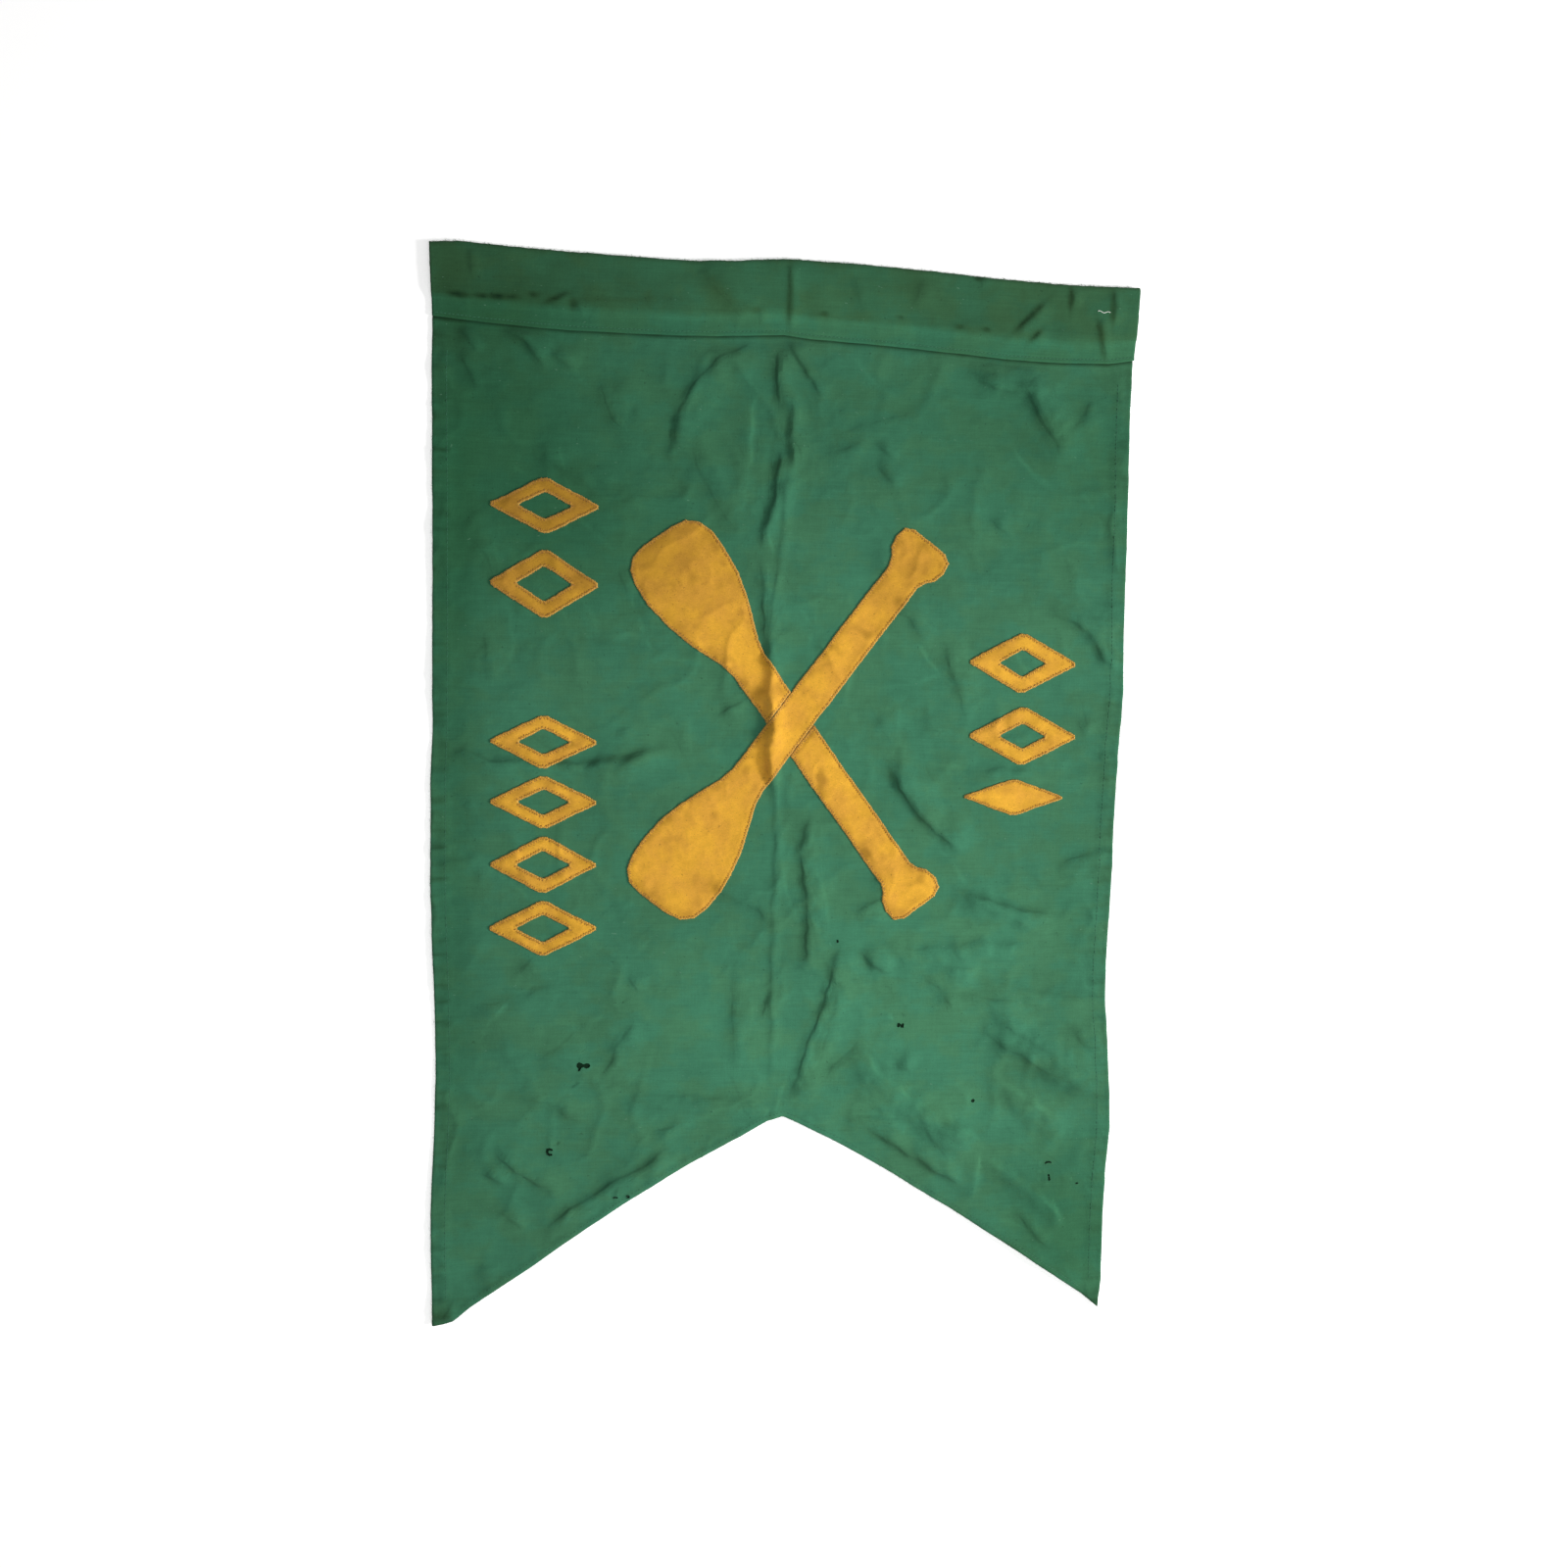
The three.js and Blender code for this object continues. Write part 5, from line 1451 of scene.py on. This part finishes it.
def felt_material(name):
    m, nt, bsdf = nodes_of(name)
    g = Graph(nt)
    patch = g.span(g.noise(24, 3, 0.6), 0.36, 0.64, smooth=True)
    base = g.mix(patch, (0.735, 0.382, 0.036), (0.655, 0.326, 0.040))
    grain = g.span(g.noise(0.85, 4, 0.75), 0.28, 0.72, 0.84, 1.14)
    mottle = g.span(g.noise(5, 4, 0.6), 0.3, 0.7, 0.93, 1.07)
    fibre_n = g.span(g.noise(0.5, 3, 0.7, stretch=(5, 1), turn=0.6, warp=1.2), 0.3, 0.7, 0.94, 1.06)
    k = g.math("MULTIPLY", g.math("MULTIPLY", grain, mottle), fibre_n)
    # fade: fading and painted light and shade.
    k = g.math("MULTIPLY", k, g.math("ADD", g.attr("fade"), 1.0))
    base = g.scale(base, k)
    speck = g.span(g.noise(1.5, 2, 0.5), 0.66, 0.73, 0.0, 0.55)
    base = g.mix(speck, base, (0.22, 0.105, 0.02))
    base = g.mix(g.math("MULTIPLY", g.attr("soil"), 0.75, clamp=True), base, (0.25, 0.125, 0.012))
    pale = g.math("MULTIPLY", g.attr("edge"), g.span(g.noise(1.2, 2, 0.6), 0.35, 0.65, 0.25, 0.75))
    base = g.mix(pale, base, (0.80, 0.53, 0.17))
    g.put(bsdf.inputs["Base Color"], base)
    set_plain(bsdf, 0.96, 0.16, (1.0, 0.78, 0.4), 0.08, 0.6)
    n1 = g.bump(g.noise(0.55, 4, 0.75), 0.00016)
    n2 = g.bump(g.noise(0.8, 3, 0.7, stretch=(6, 1), turn=0.6, warp=1.5), 0.00014, normal=n1)
    g.put(bsdf.inputs["Normal"], n2)
    return m


def thread_material(name, clean, dirty, sheen=0.1):
    m, nt, bsdf = nodes_of(name)
    g = Graph(nt)
    base = g.mix(g.attr("soil"), clean, dirty)
    base = g.scale(base, g.span(g.noise(1.3, 2, 0.6), 0.3, 0.7, 0.8, 1.15))
    g.put(bsdf.inputs["Base Color"], base)
    set_plain(bsdf, 0.75, sheen, (1, 1, 1), 0.25)
    g.put(bsdf.inputs["Normal"], g.bump(g.noise(0.35, 2, 0.5, stretch=(1, 1)), 0.00006))
    return m


mat_body = cotton("green_cotton", (0.0385, 0.1720, 0.1000), (0.0500, 0.1650, 0.0810), (0.0140, 0.0850, 0.0340), (0.55, 0.50, 0.42))
mat_sleeve = cotton("sleeve_cotton", (0.0340, 0.1620, 0.0900), (0.0440, 0.1540, 0.0720), (0.0160, 0.0800, 0.0300), (0.72, 0.52, 0.40), 1.0)
mat_felt = felt_material("gold_felt")
mat_zig = thread_material("gold_thread", (0.60, 0.30, 0.055), (0.17, 0.066, 0.012))
mat_seam = thread_material("green_thread", (0.038, 0.160, 0.092), (0.026, 0.10, 0.052))
mat_fray = thread_material("green_lint", (0.050, 0.150, 0.090), (0.05, 0.15, 0.09))
mat_fuzz = thread_material("gold_lint", (0.74, 0.46, 0.13), (0.5, 0.3, 0.1))
mat_white = thread_material("white_thread", (0.78, 0.82, 0.76), (0.6, 0.6, 0.55))

body.data.materials.append(mat_body)
sleeve.data.materials.append(mat_sleeve)
for obj, *_ in felts:
    obj.data.materials.append(mat_felt)
for o in zig_objs:
    o.data.materials.append(mat_zig)
seam_stitches.data.materials.append(mat_seam)
frays.data.materials.append(mat_fray)
felt_fuzz.data.materials.append(mat_fuzz)
loose.data.materials.append(mat_white)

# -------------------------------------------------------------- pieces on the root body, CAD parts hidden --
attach(body, "root")
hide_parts("cloth_body")
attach(sleeve, "root")
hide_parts("hoist_sleeve")
for o in [seam_stitches, frays, felt_fuzz, loose] + zig_objs:
    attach(o, "root")
for obj, nodes, fine, flat in felts:
    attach(obj, "root")
    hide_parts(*nodes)

for (obj, nodes, fine, flat), zig in zip(felts, zig_objs):
    p = fine[0]
    best = None
    for deg in range(0, 180, 3):
        a = math.radians(deg)
        u, v = p[:, 0] * math.cos(a) + p[:, 1] * math.sin(a), p[:, 1] * math.cos(a) - p[:, 0] * math.sin(a)
        w, h = np.ptp(u), np.ptp(v)
        if best is None or w * h < best[0] * best[1]:
            best = (w, h)
    size = (max(best[0] * MM, 0.0101), max(best[1] * MM, 0.0101))

# ------------------------------------------------------- floor, light, camera --
bpy.ops.mesh.primitive_plane_add(size=12, location=(0, 0, 0))
floor = bpy.context.object
floor.name = "floor"
m, nt, bsdf = nodes_of("floor_white")
bsdf.inputs["Base Color"].default_value = (0.86, 0.86, 0.86, 1)
bsdf.inputs["Roughness"].default_value = 1.0
bsdf.inputs["Specular IOR Level"].default_value = 0.0
bsdf.inputs["Emission Color"].default_value = (1, 1, 1, 1)
bsdf.inputs["Emission Strength"].default_value = 0.46
floor.data.materials.append(m)
floor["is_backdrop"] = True

world = bpy.data.worlds.new("studio")
scene.world = world
world.use_nodes = True
world.node_tree.nodes["Background"].inputs[0].default_value = (1, 1, 1, 1)
world.node_tree.nodes["Background"].inputs[1].default_value = 0.20

for tag, place, watts, size in (("right", (1.72, -0.22, 1.06), 36.5, 0.45), ("below", (0.75, -1.48, 1.14), 5.0, 0.8)):
    key = bpy.data.lights.new("key_" + tag, "AREA")
    key.shape = "DISK"
    key.size = size
    key.energy = watts
    key.color = (1.0, 0.99, 0.97)
    key_obj = bpy.data.objects.new("key_" + tag, key)
    key_obj.location = place
    key_obj.rotation_euler = (Vector((0.0, -0.02, 0.0)) - key_obj.location).to_track_quat("-Z", "Y").to_euler()
    scene.collection.objects.link(key_obj)

fill = bpy.data.lights.new("fill", "AREA")
fill.shape = "DISK"
fill.size = 0.9
fill.energy = 7.0
fill_obj = bpy.data.objects.new("fill", fill)
fill_obj.location = (0.12, -0.16, 1.40)
scene.collection.objects.link(fill_obj)

cam = bpy.data.cameras.new("camera")
cam.lens = 28
cam.sensor_width = 36
cam.clip_start = 0.01
cam.clip_end = 50
cam_obj = bpy.data.objects.new("camera", cam)
cam_obj.location = (-0.10196, 0.08373, 0.89212)
cam_obj.rotation_euler = (-0.07780615, -0.10938929, 0.02101469)
scene.collection.objects.link(cam_obj)
scene.camera = cam_obj

lo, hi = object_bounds()
